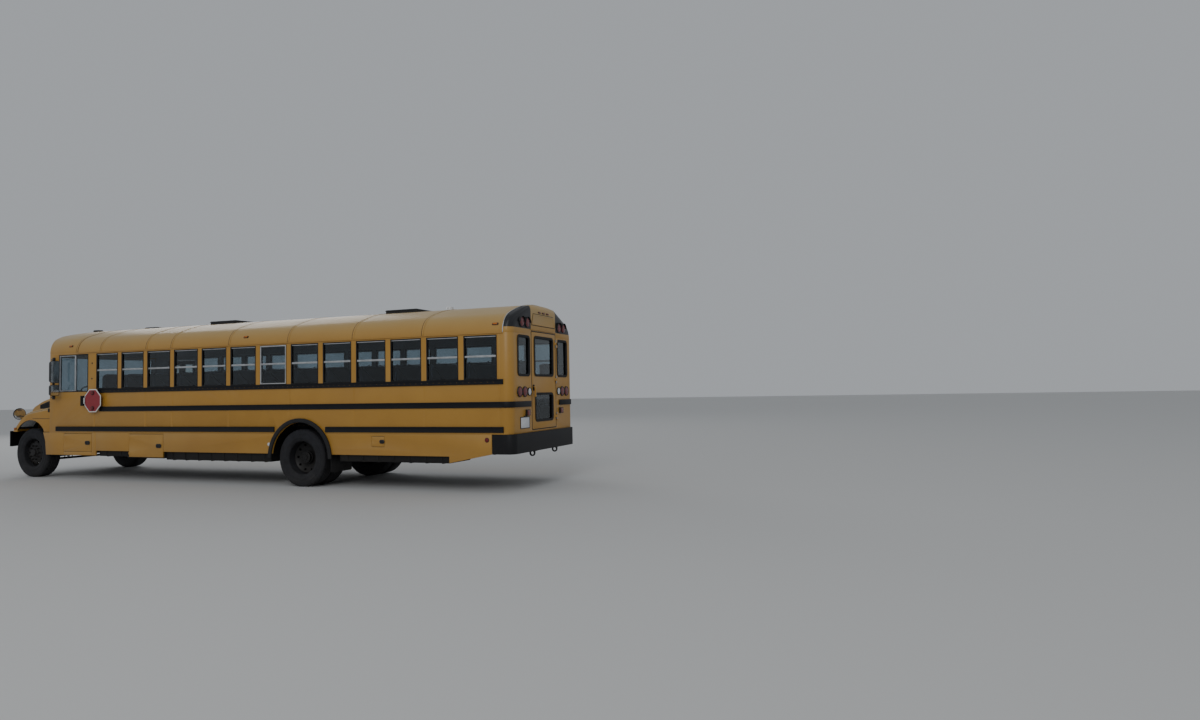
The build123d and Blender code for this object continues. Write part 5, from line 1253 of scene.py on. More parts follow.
def buildTail():
    s = tailSettings
    x = s["tailX"]
    bezels, redLenses, clearLenses = buildTailLamps()
    wallSeals, doorSeals = windowRubbers(s["windows"]), windowRubbers(s["doorWindows"])
    mount("rearWindowRubbers", wallSeals, "rubber")
    mount("rearDoorRubbers", list(reversed(doorSeals)), "rubber", "rear_exit")
    frontBezels, frontLenses = frontLamps()
    mount("lampBezels", bezels + frontBezels, "plastic")
    mount("redLampLenses", redLenses + frontLenses, "redLens", replaced=["red_lamps"])
    base = turned("strobeBase", strobeSettings["place"], strobeSettings["base"], 32, "Z")
    mount("strobeBase", [base], "white")
    dome = turned("strobeDome", strobeSettings["place"], strobeSettings["dome"], 32, "Z")
    mount("clearLampLenses", clearLenses + [dome], "clearLens", replaced=["clear_lamps"])
    buildSignBoard()
    # bright rim where the roof meets the tail, and a blank plate with its lamp
    mount("capRim", [roofStrip("capRim", x + 0.136, 0.014, 0.004, 0.005)], "aluminium")
    holder = roundedFrame("plateHolder", (x - 0.008, 0.583, 0.997), (x, 0.913, 1.184), 0, 0.010, 0.010, 0.002)
    lamp = roundedBlock("plateLamp", (x - 0.022, 0.700, 1.186), (x, 0.796, 1.198), 0, 0.005)
    mount("plateHolder", [holder, lamp], "plastic")
    plate = roundedBlock("blankPlate", (x - 0.005, 0.590, 1.004), (x, 0.906, 1.177), 0, 0.012, 4, 0.001)
    mount("blankPlate", [plate], "plate")
    # rear door: lever handle on its latch plate, and a rubber round the door's edge
    lever = roundedBlock("lever", (x - 0.040, 0.404, 1.500), (x - 0.026, 0.426, 1.665), 0, 0.009, 4, 0.003)
    boss = turned("leverBoss", (x, 0.415, 1.648), [(0.024, -0.001), (0.024, -0.012), (0.016, -0.018),
                                                   (0.014, -0.040), (0.010, -0.043)], 24, "X")
    latch = roundedBlock("latchPlate", (x - 0.006, 0.385, 1.600), (x, 0.445, 1.700), 0, 0.010, 4, 0.002)
    mount("rearDoorHandle", [lever, boss, latch], "iron", "rear_exit")
    doorSeal = roundedFrame("doorSeal", (x - 0.002, -0.486, 0.959),
                            (x + 0.012, 0.486, 2.586), 0, 0.030, 0.012)
    mount("doorSeal", [doorSeal], "rubber", "rear_exit")


buildTail()
print("tail built")

# roof: lap seams with rivets and painted shade lines beside them, ridge vent, puck, hatch details and side
# markers
roofSettings = {
    "seams": [3.065, 1.815, 1.165, -0.265, -1.625, -3.015, -4.395, 3.742], "capSeam": 3.742,
    # the width after seamProud is that of the painted shade line beside each seam
    "seamWidth": 0.034, "seamProud": 0.0022, "seamShade": 0.011, "rivetGap": 0.009,
    "vent": (2.885, 3.235, 0.15, 3.040, 3.082), "puckLow": (4.270, 0.265, 2.972),
    "puckHigh": (4.465, 0.395, 3.062),
    "hatches": [(0.850, "front"), (-3.350, "rear")], "hatchHalf": 0.332,
    "markers": [-0.635, -5.72, 3.95], "markerAngle": 0.40,
}


def seamRivets():
    s = roofSettings
    angles = [0.05 + 0.20 * i for i in range(6)]
    angles += [roofForm["knee"] + 0.02 + 0.0395 * i for i in range(21)] + [math.pi - a for a in angles]
    places = []
    for x in s["seams"]:
        for angle in angles:
            (y, z), direction = roofPlace(angle)
            y, z = y + direction[1] * s["seamProud"], z + direction[2] * s["seamProud"]
            places += [((x + shift, y, z), direction) for shift in (-s["rivetGap"], s["rivetGap"])]
    return rivets("seamRivets", places, 0.0045, 0.0016)


def buildHatches():
    s = roofSettings
    for x, word in s["hatches"]:
        body = word + "_hatch"
        easeCopies(("roof_hatch_" + word, word + "HatchLid", "plastic", "black_plastic", 0.006, 3, 20))
        bead = roundedFrame("hatchBead", (x - 0.20, -0.20, 3.0965),
                            (x + 0.20, 0.20, 3.1005), 2, 0.03, 0.014, 0.0015)
        pad = roundedBlock("hatchPad", (x - 0.09, -0.09, 3.0965), (x + 0.09, 0.09, 3.1025), 2, 0.03, 4, 0.002)
        grip = tube((x - 0.10, 0, 3.060), (x + 0.10, 0, 3.060), 0.008)
        mount(body + "Trim", [bead, pad, grip], "plastic", body)
    half = s["hatchHalf"]
    curbs = [roundedFrame("hatchCurb", (x - half, -half, 3.026),
                          (x + half, half, 3.0695), 2, 0.022, 0.013, 0.002)
             for x, word in s["hatches"]]
    mount("hatchCurbs", curbs, "plastic")


def buildRoofMarkers():
    s = roofSettings
    lenses, bases = [], []
    (y, z), _ = roofPlace(s["markerAngle"])
    for x in s["markers"]:
        for side in (-1, 1):
            base = roundedBlock("markerBase", (-0.055, 0, -0.020), (0.055, 0.012, 0.020), 1, 0.012, 4, 0.002)
            light = roundedBlock("markerLens", (-0.040, 0.010, -0.013),
                                 (0.040, 0.024, 0.013), 1, 0.010, 4, 0.003)
            for piece in (base, light):
                if side < 0:
                    turnMesh(piece, math.pi)
                moveMesh(turnMesh(piece, side * s["markerAngle"], "X"), (x, side * (y - 0.004), z))
            bases.append(base)
            lenses.append(light)
    mount("markerBases", bases, "plastic")
    mount("markerLenses", lenses, "amberLens")


def buildRoof():
    s = roofSettings
    straps = [roofStrip("seam", x, s["seamWidth"], s["seamProud"], 0.004) for x in s["seams"]]
    mount("roofSeams", straps + [seamRivets()], "panel")
    # dark strips beside each seam, painting the shade along the seams' edges
    seamShadeLines = [roofStrip("bead", x + side * (s["seamWidth"] + s["seamShade"]) / 2, s["seamShade"], 0.0016, 0.003)
             for x in s["seams"] for side in ((1, -1) if x == s["capSeam"] else (1,))]
    mount("roofSeamShade", seamShadeLines, "seamShade")
    rear, front, half, low, high = s["vent"]
    vent = roundedBlock("ridgeVent", (rear, -half, low), (front, half, high), 2, 0.05, 5, 0.010)
    puck = roundedBlock("ridgePuck", s["puckLow"], s["puckHigh"], 2, 0.050, 6, 0.016)
    mount("ridgeVents", [vent, puck], "plastic")
    buildHatches()
    buildRoofMarkers()


buildRoof()
print("roof built")

# stop arm: white-edged red octagon with two lamps on each face, folded beside the body
stopSettings = {
    "pin": (3.452, 1.289, 1.557), "centreX": 3.1845, "radius": 0.227, "faceRadius": 0.2075,
    "bladeThickness": 0.007, "faceThickness": 0.0014, "lampZ": 0.150, "lampRadius": 0.042,
}


def octagon(name, place, radius, thickness):
    # an eight-sided plate that faces along Y, with a flat side below; the radius is to the middle of a side
    clearSelection()
    piece = addRod(8, radius / math.cos(math.pi / 8), thickness, place)
    piece.name = name
    centre = Vector(place)
    turn = Matrix.Rotation(math.pi / 8, 4, "Y")
    piece.data.transform(Matrix.Translation(centre) @ turn @ Matrix.Translation(-centre))
    return piece


def buildStopArm():
    s = stopSettings
    px, py, pz = s["pin"]
    x, half, lampR = s["centreX"], s["bladeThickness"] / 2, s["lampRadius"]
    blade = bevelSharp(octagon("stopBlade", (x, py, pz), s["radius"], s["bladeThickness"]), 0.0015, 2, 30)
    arm = roundedBlock("stopBladeArm", (px - 0.110, py - half, pz - 0.058),
                       (px - 0.008, py + half, pz + 0.058), 1, 0.012, 4, 0.001)
    mount("stopBladeWhite", [blade, arm], "white", "stop_blade", angle=30)
    faces = [bevelSharp(octagon("stopFace", (x, py + side * 0.0040, pz), s["faceRadius"], s["faceThickness"]),
                        0.0004, 1, 30) for side in (-1, 1)]
    mount("stopBladeRed", faces, "stopRed", "stop_blade", ["stop_arm"], 30)
    rings, lenses = [], []
    for high in (-1, 1):
        for side in (-1, 1):
            place = (x, py + side * 0.0036, pz + high * s["lampZ"])
            ring = [(lampR, 0), (lampR, side * 0.012), (lampR * 0.86, side * 0.015), (lampR * 0.86, 0)]
            rings.append(turned("stopLampRing", place, ring, 28, "Y", "loop"))
            dome = [(lampR * 0.85, 0), (lampR * 0.85, side * 0.014), (lampR * 0.6, side * 0.020),
                    (lampR * 0.2, side * 0.023)]
            lenses.append(turned("stopLampLens", place, dome, 28))
    barrel = tube((px, py, pz - 0.060), (px, py, pz + 0.060), 0.012)
    screws = rivets("stopScrews", [((px - 0.045 - 0.03 * i, py + side * half, pz + j * 0.035), (0, side, 0))
                                   for i in range(2) for j in (-1, 1) for side in (-1, 1)], 0.006, 0.003)
    mount("stopBladeFittings", rings + [barrel, screws], "plastic", "stop_blade")
    mount("stopLamps", lenses, "redLens", "stop_blade")
    motor = roundedBlock("stopArmMotor", (px + 0.028, 1.222, pz - 0.098),
                         (px + 0.060, 1.305, pz + 0.098), 1, 0.012)
    mount("stopArmMotor", [motor], "plastic")


buildStopArm()
print("stop arm built")

# outside mirrors: two heads on a post each side, and round cross-view mirrors on the hood
mirrorSettings = {
    "x": 4.175, "y": 1.385, "half": 0.088, "depth": 0.038, "heads": [(1.920, 2.369), (1.663, 1.887)],
    "taper": (1, 0.80, 0.90), "wallY": 1.219, "postX": 4.415, "postZ": (1.628, 2.412),
    "footZ": (1.640, 2.400), "clampZ": (1.905, 2.384, 1.652),
}
crossviewSettings = {
    "place": (5.775, 1.010, 1.300), "radius": 0.124, "foot": (5.555, 0.950, 1.230),
    # (share of the radius, distance) pairs
    "back": [(0.30, 0.070), (0.62, 0.067), (0.86, 0.052), (0.985, 0.022), (1, 0.006), (0.97, 0.001),
             (0.94, 0.004)],
    "face": [(0.945, 0.006), (0.90, 0.003), (0.6, 0.0015), (0.2, 0.0005)],
    "footProfile": [(0.034, 0.0), (0.034, 0.008), (0.020, 0.020), (0.012, 0.024)],
}


def mirrorHead(y, low, high):
    # a shell that tapers forward, with its rear sunk round the glass
    s = mirrorSettings
    x, half, depth = s["x"], s["half"], s["depth"]
    shell = roundedBlock("mirrorShell", (x - depth, y - half, low),
                         (x + depth, y + half, high), 0, 0.035, 6, 0)
    editMesh(shell)
    pickFaces(shell, facing("X"))
    bpy.ops.transform.resize(value=s["taper"], center_override=(x, y, (low + high) / 2))
    objectMode()
    insetFaces(shell, facing("X", -1), (0.008, 0), (0.001, -0.006))
    face = roundedBlock("mirrorFace", (x - 0.0350, y - half + 0.010, low + 0.010),
                        (x - 0.0325, y + half - 0.010, high - 0.010), 0, 0.027, 6, 0)
    return smooth(bevelSharp(shell, 0.006, 3, 50), 40), face


def buildSideMirrors():
    s = mirrorSettings
    x, postX, shells, faces = s["x"], s["postX"], [], []
    for side in (-1, 1):
        y, wall = side * s["y"], side * s["wallY"]
        for low, high in s["heads"]:
            shell, face = mirrorHead(y, low, high)
            shells.append(shell)
            faces.append(face)
        for z in s["footZ"]:
            shells.append(tube((postX, wall, z), (postX, wall + side * 0.055, z), 0.0135))
            shells.append(tube((postX, wall + side * 0.048, z), (x, y, z), 0.0125))
            inner, outer = sorted((wall, wall + side * 0.010))
            shells.append(roundedBlock("mirrorFoot", (postX - 0.04, inner, z - 0.045),
                                       (postX + 0.04, outer, z + 0.045), 1, 0.015, 4, 0.002))
        shells.append(tube((x, y, s["postZ"][0]), (x, y, s["postZ"][1]), 0.0125))
        for z in s["clampZ"]:
            shells.append(roundedBlock("mirrorClamp", (x - 0.02, y - 0.02, z - 0.012),
                                       (x + 0.02, y + 0.02, z + 0.012), 2, 0.008, 3, 0.002))
    mount("sideMirrorShells", shells, "plastic", replaced=["side_mirrors"])
    mount("sideMirrorFaces", faces, "mirror")


def buildCrossviewMirrors():
    s = crossviewSettings
    (x, y, z), (footX, footY, footZ) = s["place"], s["foot"]
    arms, domes = [], []
    for side in (-1, 1):
        back, face = ([(s["radius"] * r, d) for r, d in s[part]] for part in ("back", "face"))
        arms.append(turned("domeBack", (x, side * y, z), back, 40, "X"))
        domes.append(turned("domeFace", (x, side * y, z), face, 40, "X"))
        arms.append(tube((x + 0.030, side * y, z - 0.04), (footX, side * footY, footZ), 0.011))
        arms.append(turned("domeFoot", (footX, side * footY, footZ - 0.012), s["footProfile"], 24, "Z"))
    mount("crossviewBacks", arms, "plastic", "hood", ["crossview_mirrors"])
    mount("crossviewFaces", domes, "mirror", "hood")


buildSideMirrors()
buildCrossviewMirrors()
print("mirrors built")

# seats: stuffed cushions and rounded backs on tube frames
seatSettings = {
    "firstX": 3.187, "pitch": 0.6953, "rows": 13, "y": 0.667, "ahead": 0.040, "width": 0.990, "length": 0.400,
    "cushionLow": 1.350, "cushionHigh": 1.460, "backHigh": 2.070, "backThickness": 0.090,
    "backNarrower": 0.030, "floor": 1.000, "tubeRadius": 0.0125,
}
driverSettings = {"place": (3.709, 0.640), "bellows": 5, "bellowsStep": 0.05}


def modelCushion():
    s = seatSettings
    pad = roundedBlock("cushionModel", (0, -s["width"] / 2, s["cushionLow"]),
                       (s["length"], s["width"] / 2, s["cushionHigh"]), 2, 0.045, 5, 0)
    editMesh(pad, "SELECT")
    bpy.ops.mesh.subdivide(number_cuts=1)
    objectMode()
    insetFaces(pad, facing("Z"), (0.030, 0.010), (0.060, 0.004))
    return smooth(bevelSharp(pad, 0.022, 3, 50), 60)


def modelBack():
    s = seatSettings
    half, top = s["width"] / 2 - s["backNarrower"], s["backHigh"]
    pad = roundedBlock("backModel", (-s["backThickness"], -half, s["cushionLow"]), (0, half, top), 0, 0.020,
                       3, 0)
    editMesh(pad)
    pickFaces(pad, lambda centre, normal: abs(normal.x) > 0.9)
    bpy.ops.mesh.inset(thickness=0.045, depth=0.006)
    pickFaces(pad, lambda centre, normal: centre.z > top - 0.02 and normal.z > 0.5)
    bpy.ops.transform.resize(value=(0.55, 0.82, 1), center_override=(-s["backThickness"] / 2, 0, top))
    objectMode()
    return smooth(bevelSharp(pad, 0.020, 3, 50), 60)


def modelSeatFrame():
    s = seatSettings
    low, high, reach = s["floor"], s["cushionLow"] - 0.010, s["width"] / 2 - 0.12
    bars = []
    for x in (0.060, s["length"] - 0.060):
        bars.append(tube((x, -reach, low + 0.004), (x, -reach, high), s["tubeRadius"], 12))
        bars.append(tube((x, -reach, high), (x, s["width"] / 2 - 0.02, high), s["tubeRadius"], 12))
        bars.append(roundedBlock("seatFoot", (x - 0.035, -reach - 0.03, low),
                                 (x + 0.035, -reach + 0.03, low + 0.006), 2, 0.01, 3, 0.001))
    for rear, front, z in ((0.060, s["length"] - 0.060, low + 0.12), (0.0, s["length"], high)):
        bars.append(tube((rear, -reach, z), (front, -reach, z), s["tubeRadius"], 12))
    return joinPieces("frameModel", bars)


def buildSeats():
    s = seatSettings
    cushion, back, legs = modelCushion(), modelBack(), modelSeatFrame()
    cushions, backs, frames = [], [], []
    for row in range(s["rows"]):
        x = s["firstX"] - s["pitch"] * (row + 1) + s["ahead"]
        for side in (-1, 1):
            for model, made in ((cushion, cushions), (back, backs), (legs, frames)):
                twin = copyPiece(model)
                if side < 0 and model is legs:
                    mirrored(twin)
                made.append(moveMesh(twin, (x, side * s["y"], 0)))
    for model in (cushion, back, legs):
        bpy.data.objects.remove(model)
    pads = mount("seatCushionPads", cushions, "vinyl", replaced=["seat_cushions"])
    pads = mount("seatBackPads", backs, "vinyl", replaced=["seat_backs"])
    mount("seatTubes", frames, "black", replaced=["seat_frames"])


def buildDriverSeat():
    x, y = driverSettings["place"]
    parts = [roundedBlock("seatBase", (x - 0.13, y - 0.13, 1.000), (x + 0.13, y + 0.13, 1.330), 2, 0.03, 4,
                          0.006)]
    for i in range(driverSettings["bellows"]):
        low = 1.05 + driverSettings["bellowsStep"] * i
        parts.append(roundedBlock("bellows", (x - 0.128, y - 0.128, low), (x + 0.128, y + 0.128, low + 0.025),
                                  2, 0.03, 4, 0.008))
    mount("driverSeatBase", parts, "plastic")
    pan = roundedBlock("driverPan", (x - 0.24, y - 0.25, 1.332),
                       (x + 0.24, y + 0.25, 1.440), 2, 0.07, 6, 0.03)
    insetFaces(pan, facing("Z"), (0.05, -0.012))
    rest = roundedBlock("driverRest", (x - 0.32, y - 0.24, 1.345),
                        (x - 0.212, y + 0.24, 2.090), 0, 0.09, 6, 0.03)
    insetFaces(rest, facing("X"), (0.06, -0.012))
    pads = mount("driverSeatPads", [pan, rest], "vinyl", replaced=["driver_seat"], angle=50)


buildSeats()
buildDriverSeat()
print("seats built")

# front end: what sits on the curved front wall, grille, lamps, hood vents and catches
noseForm = {"centreX": 2.5198, "radius": 2.3552}
shieldSettings = {
    "glassY": (0.030, 1.120), "glassZ": (1.720, 2.470), "rubberWidth": 0.022, "gap": 0.012,
    "wiperY": 0.360, "wiperReach": 0.62, "wiperZ": 1.690, "armEndZ": 1.772,
    "wiperBoss": [(0.026, 0.0), (0.026, 0.014), (0.018, 0.024), (0.010, 0.028)],
    "cowl": (1.660, 1.706), "cowlSlats": 5, "slatStep": 0.010, "sign": (0.430, 2.545, 2.690),
}
hoodSettings = {
    "vent": (5.185, 5.515, 1.402, 1.560), "ventTaper": 0.52, "slats": 7,
    # the hood's side, and how it closes forward
    "taper": math.atan(0.075), "wallX": 5.12, "wallY": 0.7911,
    "signal": (5.575, 5.645, 0.975, 1.020),
    "catches": [((4.745, 1.385), (4.800, 1.470), (0.826, 0.846)),
                ((4.562, 1.335), (4.606, 1.415), (1.190, 1.210))],
    "fenderSeam": ((4.562, 1.2000), (5.080, 1.2085), (1.190, 1.2012)),
}


def noseStrip(name, lowY, highY, lowZ, highZ, inner, outer, steps):
    # a curved block round the nose: one upright end face, extruded step by step about the nose's centre
    f = noseForm
    start, end = math.asin(lowY / f["radius"]), math.asin(highY / f["radius"])
    clearSelection()
    bpy.ops.mesh.primitive_plane_add(size=1, rotation=(math.pi / 2, 0, 0))
    piece = settle(bpy.context.object)
    piece.name = name
    editMesh(piece, "SELECT")
    bpy.ops.transform.resize(value=(outer - inner, 1, highZ - lowZ))
    bpy.ops.transform.translate(value=(f["radius"] + (inner + outer) / 2, 0, (lowZ + highZ) / 2))
    bpy.ops.transform.rotate(value=-start, orient_axis="Z", center_override=(0, 0, 0))
    for _ in range(steps):
        bpy.ops.mesh.extrude_region()
        bpy.ops.transform.rotate(value=-(end - start) / steps, orient_axis="Z", center_override=(0, 0, 0))
    bpy.ops.mesh.select_all(action="SELECT")
    bpy.ops.transform.translate(value=(f["centreX"], 0, 0))
    bpy.ops.mesh.normals_make_consistent(inside=False)
    objectMode()
    return piece


def nosePlace(y, outset):
    f = noseForm
    angle = math.asin(y / f["radius"])
    reach = f["radius"] + outset
    return Vector((f["centreX"] + reach * math.cos(angle), reach * math.sin(angle), 0))


def shieldRubber(side):
    s = shieldSettings
    (low, high), (lowZ, highZ), half = s["glassY"], s["glassZ"], s["rubberWidth"] / 2
    a, b = across(side, low - s["gap"], high + s["gap"])
    bars = [(a, b, z - half, z + half, 16) for z in (lowZ, highZ)]
    bars += [(side * y - half, side * y + half, lowZ, highZ, 2) for y in (low, high)]
    return [noseStrip("shieldRubber", *bar[:4], -0.030, 0.005, bar[4]) for bar in bars]


def wiper(side):
    s = shieldSettings
    y, reach, z = s["wiperY"], s["wiperReach"], s["wiperZ"]
    pivot, tip = nosePlace(side * y, 0.010), nosePlace(side * (y + reach * 0.5), 0.012)
    a, b = across(side, y + 0.02, y + reach)
    return [turned("wiperBoss", (pivot.x - 0.004, pivot.y, z), s["wiperBoss"], 24, "X"),
            tube((pivot.x + 0.014, pivot.y, z), (tip.x + 0.006, tip.y, s["armEndZ"]), 0.0065, 10),
            noseStrip("wiperBlade", a, b, 1.762, 1.784, -0.021, -0.004, 12),
            noseStrip("wiperBack", a + 0.08, b - 0.08, 1.770, 1.780, -0.004, 0.010, 8)]


def buildWindshield():
    s = shieldSettings
    rubbers, wipers = [], []
    for side in (-1, 1):
        rubbers += shieldRubber(side)
        wipers += wiper(side)
    rubbers = bevelSharp(joinPieces("windshieldRubbers", rubbers), 0.004, 2, 60)
    mount("windshieldRubbers", [rubbers], "rubber", angle=40)
    low, high = s["cowl"]
    slats = [noseStrip("cowlSlat", -0.60, 0.60, low + s["slatStep"] * i, low + s["slatStep"] * i + 0.005,
                       0.001, 0.007, 16)
             for i in range(s["cowlSlats"])]
    slats.append(noseStrip("cowlBack", -0.62, 0.62, low - 0.006, high + 0.004, 0.0, 0.003, 16))
    mount("wipers", wipers + slats, "plastic")
    half, low, high = s["sign"]
    board = noseStrip("frontSign", -half, half, low, high, 0.0, 0.010, 16)
    outside = noseForm["radius"] + 0.009
    insetFaces(board, lambda centre, normal: math.hypot(centre.x - noseForm["centreX"], centre.y) > outside,
               (0.014, 0), (0.003, -0.005))
    mount("frontSign", [bevelSharp(board, 0.002, 2, 60)], "panel", angle=30)


def hoodVent(side):
    # a louvred frame on the side of the hood, lower towards the front and turned to the hood's taper
    s = hoodSettings
    rear, front, low, high = s["vent"]
    parts = [roundedFrame("ventFrame", (rear, -0.002, low), (front, 0.007, high), 1, 0.018, 0.012, 0.002),
             addBox("ventBack", (rear + 0.01, -0.003, low + 0.01), (front - 0.01, 0.001, high - 0.01))]
    step = (high - low - 0.03) / s["slats"]
    for i in range(s["slats"]):
        slat = addBox("ventSlat", (rear + 0.01, 0.0, low + 0.018 + step * i),
                      (front - 0.01, 0.007, low + 0.022 + step * i))
        editMesh(slat)
        pickFaces(slat, facing("Y"))
        bpy.ops.transform.translate(value=(0, 0, -0.007))      # each slat slopes down and out
        objectMode()
        parts.append(slat)
    vent = joinPieces("hoodVent", parts)
    middle = (rear + front) / 2
    editMesh(vent)
    pickVertices(vent, lambda place: place.x > middle)
    bpy.ops.transform.resize(value=(1, 1, s["ventTaper"]), center_override=(0, 0, low))
    objectMode()
    wallY = s["wallY"] - (middle - s["wallX"]) * math.tan(s["taper"])
    moveMesh(turnMesh(moveMesh(vent, (-middle, 0, 0)), -s["taper"]), (middle, wallY + 0.001, 0))
    return vent if side > 0 else mirrored(vent)


def hoodCatches():
    # rubber catches at the rear of the hood and fender, and the seam under the fender's crown
    catches = []
    for side in (-1, 1):
        for (rear, low), (front, high), ys in hoodSettings["catches"]:
            inner, outer = across(side, *ys)
            catches.append(roundedBlock("hoodCatch", (rear, inner, low),
                                        (front, outer, high), 1, 0.010, 4, 0.003))
        (rear, low), (front, high), ys = hoodSettings["fenderSeam"]
        inner, outer = across(side, *ys)
        catches.append(addBox("fenderSeam", (rear, inner, low), (front, outer, high)))
    return catches


def buildHoodDetails():
    easeCopies(("hood_grille", "grilleBars", "plastic", "black_plastic", 0.003),
               ("headlamps", "headlampLenses", "clearLens", "clear_lens", 0.007, 3, 30))
    rear, front, low, high = hoodSettings["signal"]
    signals, bases, vents = [], [], []
    for side in (-1, 1):
        inner, outer = across(side, 1.2005, 1.2145)
        signals.append(roundedBlock("signalLens", (rear + 0.006, inner, low + 0.006),
                                    (front - 0.006, outer, high - 0.006), 1, 0.010, 5, 0.003))
        inner, outer = across(side, 1.200, 1.208)
        bases.append(roundedBlock("signalBase", (rear, inner, low), (front, outer, high), 1, 0.014, 5, 0.002))
        vents.append(hoodVent(side))
    mount("turnSignalLenses", signals, "amberLens", "hood", ["turn_signals"])
    mount("hoodVents", vents + bases + hoodCatches(), "plastic", "hood")


buildWindshield()
buildHoodDetails()
print("front end built")

# sides: panel laps with rivets, plugs, latches, markers and mud flaps
sideSettings = {
    "wallY": 1.219, "laps": [3.237, 1.846, 1.151, -0.240, -1.630, -3.021, -4.412], "lapWidth": 0.034,
    # no lap ahead of doorX on the door's side; laps over the rear wheels start at archZ
    "lapZ": (0.930, 2.508), "lapY": (1.2185, 1.2205), "doorX": 3.0,
    "archX": -1.875, "archReach": 0.72, "archZ": 1.200,
    "rivetGap": 0.009, "rivetStep": 0.055, "rivetTop": 2.49,
    "rows": [(1.072, 1.219), (1.745, 1.2395), (2.502, 1.219)], "rowX": (-5.70, 3.10), "rowStep": 0.110,
    "plugs": [(3.305, 2.300), (3.310, 1.995)],
    "plug": [(0.016, -0.002), (0.016, 0.003), (0.011, 0.006), (0.003, 0.0065)],
    "latches": [("front_bay_door", 3.413, 0.724, 0.050), ("middle_bay_door", 1.479, 0.681, 0.050),
                ("charge_flap", -3.594, 0.799, 0.030)],
    "marker": (-5.564, 0.838, 0.038), "reflector": (-1.190, 0.735),
}
entrySettings = {
    # rear X of each leaf, and the strip on its meeting edge
    "leaves": [("Rear", 3.306, 0.397, 0.0055), ("Front", 3.717, 0, -0.0055)],
    "panes": [(0.580, 1.180), (1.240, 2.350)], "rubberX": (0.052, 0.345), "rubberY": (-1.2225, -1.176),
}


def sideRivets():
    # two columns on each lap, and rows along the wall; the middle row is on a rail
    s = sideSettings
    laps, places = [], []
    for x in s["laps"]:
        for side in (-1, 1):
            if side < 0 and x > s["doorX"]:
                continue
            low = s["lapZ"][0] if abs(x - s["archX"]) > s["archReach"] else s["archZ"]
            inner, outer = across(side, *s["lapY"])
            half = s["lapWidth"] / 2
            laps.append(addBox("sideLap", (x - half, inner, low), (x + half, outer, s["lapZ"][1]), 0.0006, 1))
            z = low + 0.03
            while z < s["rivetTop"]:
                places += [((x + shift, side * s["lapY"][1], z), (0, side, 0))
                           for shift in (-s["rivetGap"], s["rivetGap"])]
                z += s["rivetStep"]
    for side in (-1, 1):
        x, end = s["rowX"]
        while x < end:
            places += [((x, side * y, z), (0, side, 0)) for z, y in s["rows"]]
            x += s["rowStep"]
    return laps + [rivets("sideRivets", places, 0.0042, 0.0016)]


def buildSides():
    s = sideSettings
    mount("sideLaps", sideRivets(), "panel", angle=30)
    plugs = [turned("pillarPlug", (x, s["wallY"], z), s["plug"], 20) for x, z in s["plugs"]]
    mount("pillarPlugs", plugs, "plastic")
    for body, x, z, half in s["latches"]:
        high = half * 0.34
        latch = roundedBlock("latchPlate", (x - half, 1.217, z - high), (x + half, 1.2345, z + high), 1,
                             half * 0.26, 5, 0.003)
        insetFaces(latch, facing("Y"), (half * 0.10, -0.001), (0.002, -0.005))
        ready(smooth(dress(latch, look["plastic"]), 30), body)


def buildMarkers():
    s = sideSettings
    (x, z, r), (reflectorX, reflectorZ) = s["marker"], s["reflector"]
    reds, whites, rings, flaps = [], [], [], []
    for side in (-1, 1):
        place = (x, side * s["wallY"], z)
        dome = [(r * 0.86, 0), (r * 0.86, side * 0.007), (r * 0.6, side * 0.010), (r * 0.1, side * 0.011)]
        reds.append(turned("sideMarker", place, dome, 32))
        ring = [(r * 0.87, 0), (r * 0.87, side * 0.008), (r, side * 0.006), (r, 0)]
        rings.append(turned("markerRing", place, ring, 32, "Y", "loop"))
        dome = [(0.030, 0), (0.030, side * 0.006), (0.022, side * 0.009), (0.004, side * 0.010)]
        whites.append(turned("sideReflector", (reflectorX, side * s["wallY"], reflectorZ), dome, 28))
        inner, outer = across(side, 0.640, 1.180)
        flaps.append(roundedBlock("mudFlap", (-2.512, inner, 0.260),
                                  (-2.504, outer, 0.640), 0, 0.030, 4, 0.002))
        inner, outer = across(side, 0.500, 1.186)
        flaps.append(roundedBlock("flapIron", (-2.516, inner, 0.600),
                                  (-2.496, outer, 0.640), 0, 0.006, 3, 0.002))
    mount("sideMarkers", reds, "redLens")
    mount("sideReflectors", whites, "clearLens")
    mount("mudFlaps", flaps + rings, "rubber")


def buildEntryDoor():
    # rubbers round the panes of both leaves, the strips where they meet, and a pull bar inside each
    s = entrySettings
    (nearX, farX), (outY, inY) = s["rubberX"], s["rubberY"]
    for word, rear, meeting, strip in s["leaves"]:
        rubbers = [roundedFrame("leafRubber", (rear + nearX, outY, low - 0.008),
                                (rear + farX, inY, high + 0.008), 1, 0.030, 0.020)
                   for low, high in s["panes"]]
        edgeLow, edgeHigh = sorted((rear + meeting, rear + meeting + strip))
        rubbers.append(addBox("leafEdge", (edgeLow, -1.216, 0.460), (edgeHigh, -1.182, 2.420), 0.002))
        rubbers.append(tube((rear + 0.198, -1.160, 1.02), (rear + 0.198, -1.160, 1.22), 0.011, 12))
        mount("entryRubbers" + word, rubbers, "rubber", "entry_leaf_" + word.lower())


buildSides()
buildMarkers()
buildEntryDoor()
print("sides built")

# cab: steering wheel, dashboard with its binnacle, and handrails beside the steps
cabSettings = {
    "wheel": (4.129, 0.640, 1.680), "rim": 0.218, "section": 0.0125, "tilt": 35, "spokes": 3,
    "hub": [(0.050, -0.012), (0.050, 0.004), (0.042, 0.012), (0.014, 0.0135)],
    "column": [(0.030, -0.230), (0.030, -0.05), (0.040, -0.03), (0.040, -0.010)],
    "rails": [((3.255, -0.700, 1.004), (3.255, -0.700, 1.900)),
              ((3.255, -0.700, 1.900), (3.255, -1.165, 1.900)),
              ((3.255, -0.700, 1.450), (3.255, -1.165, 1.450)),
              ((4.230, -0.760, 1.270), (4.230, -0.760, 1.660))],
}


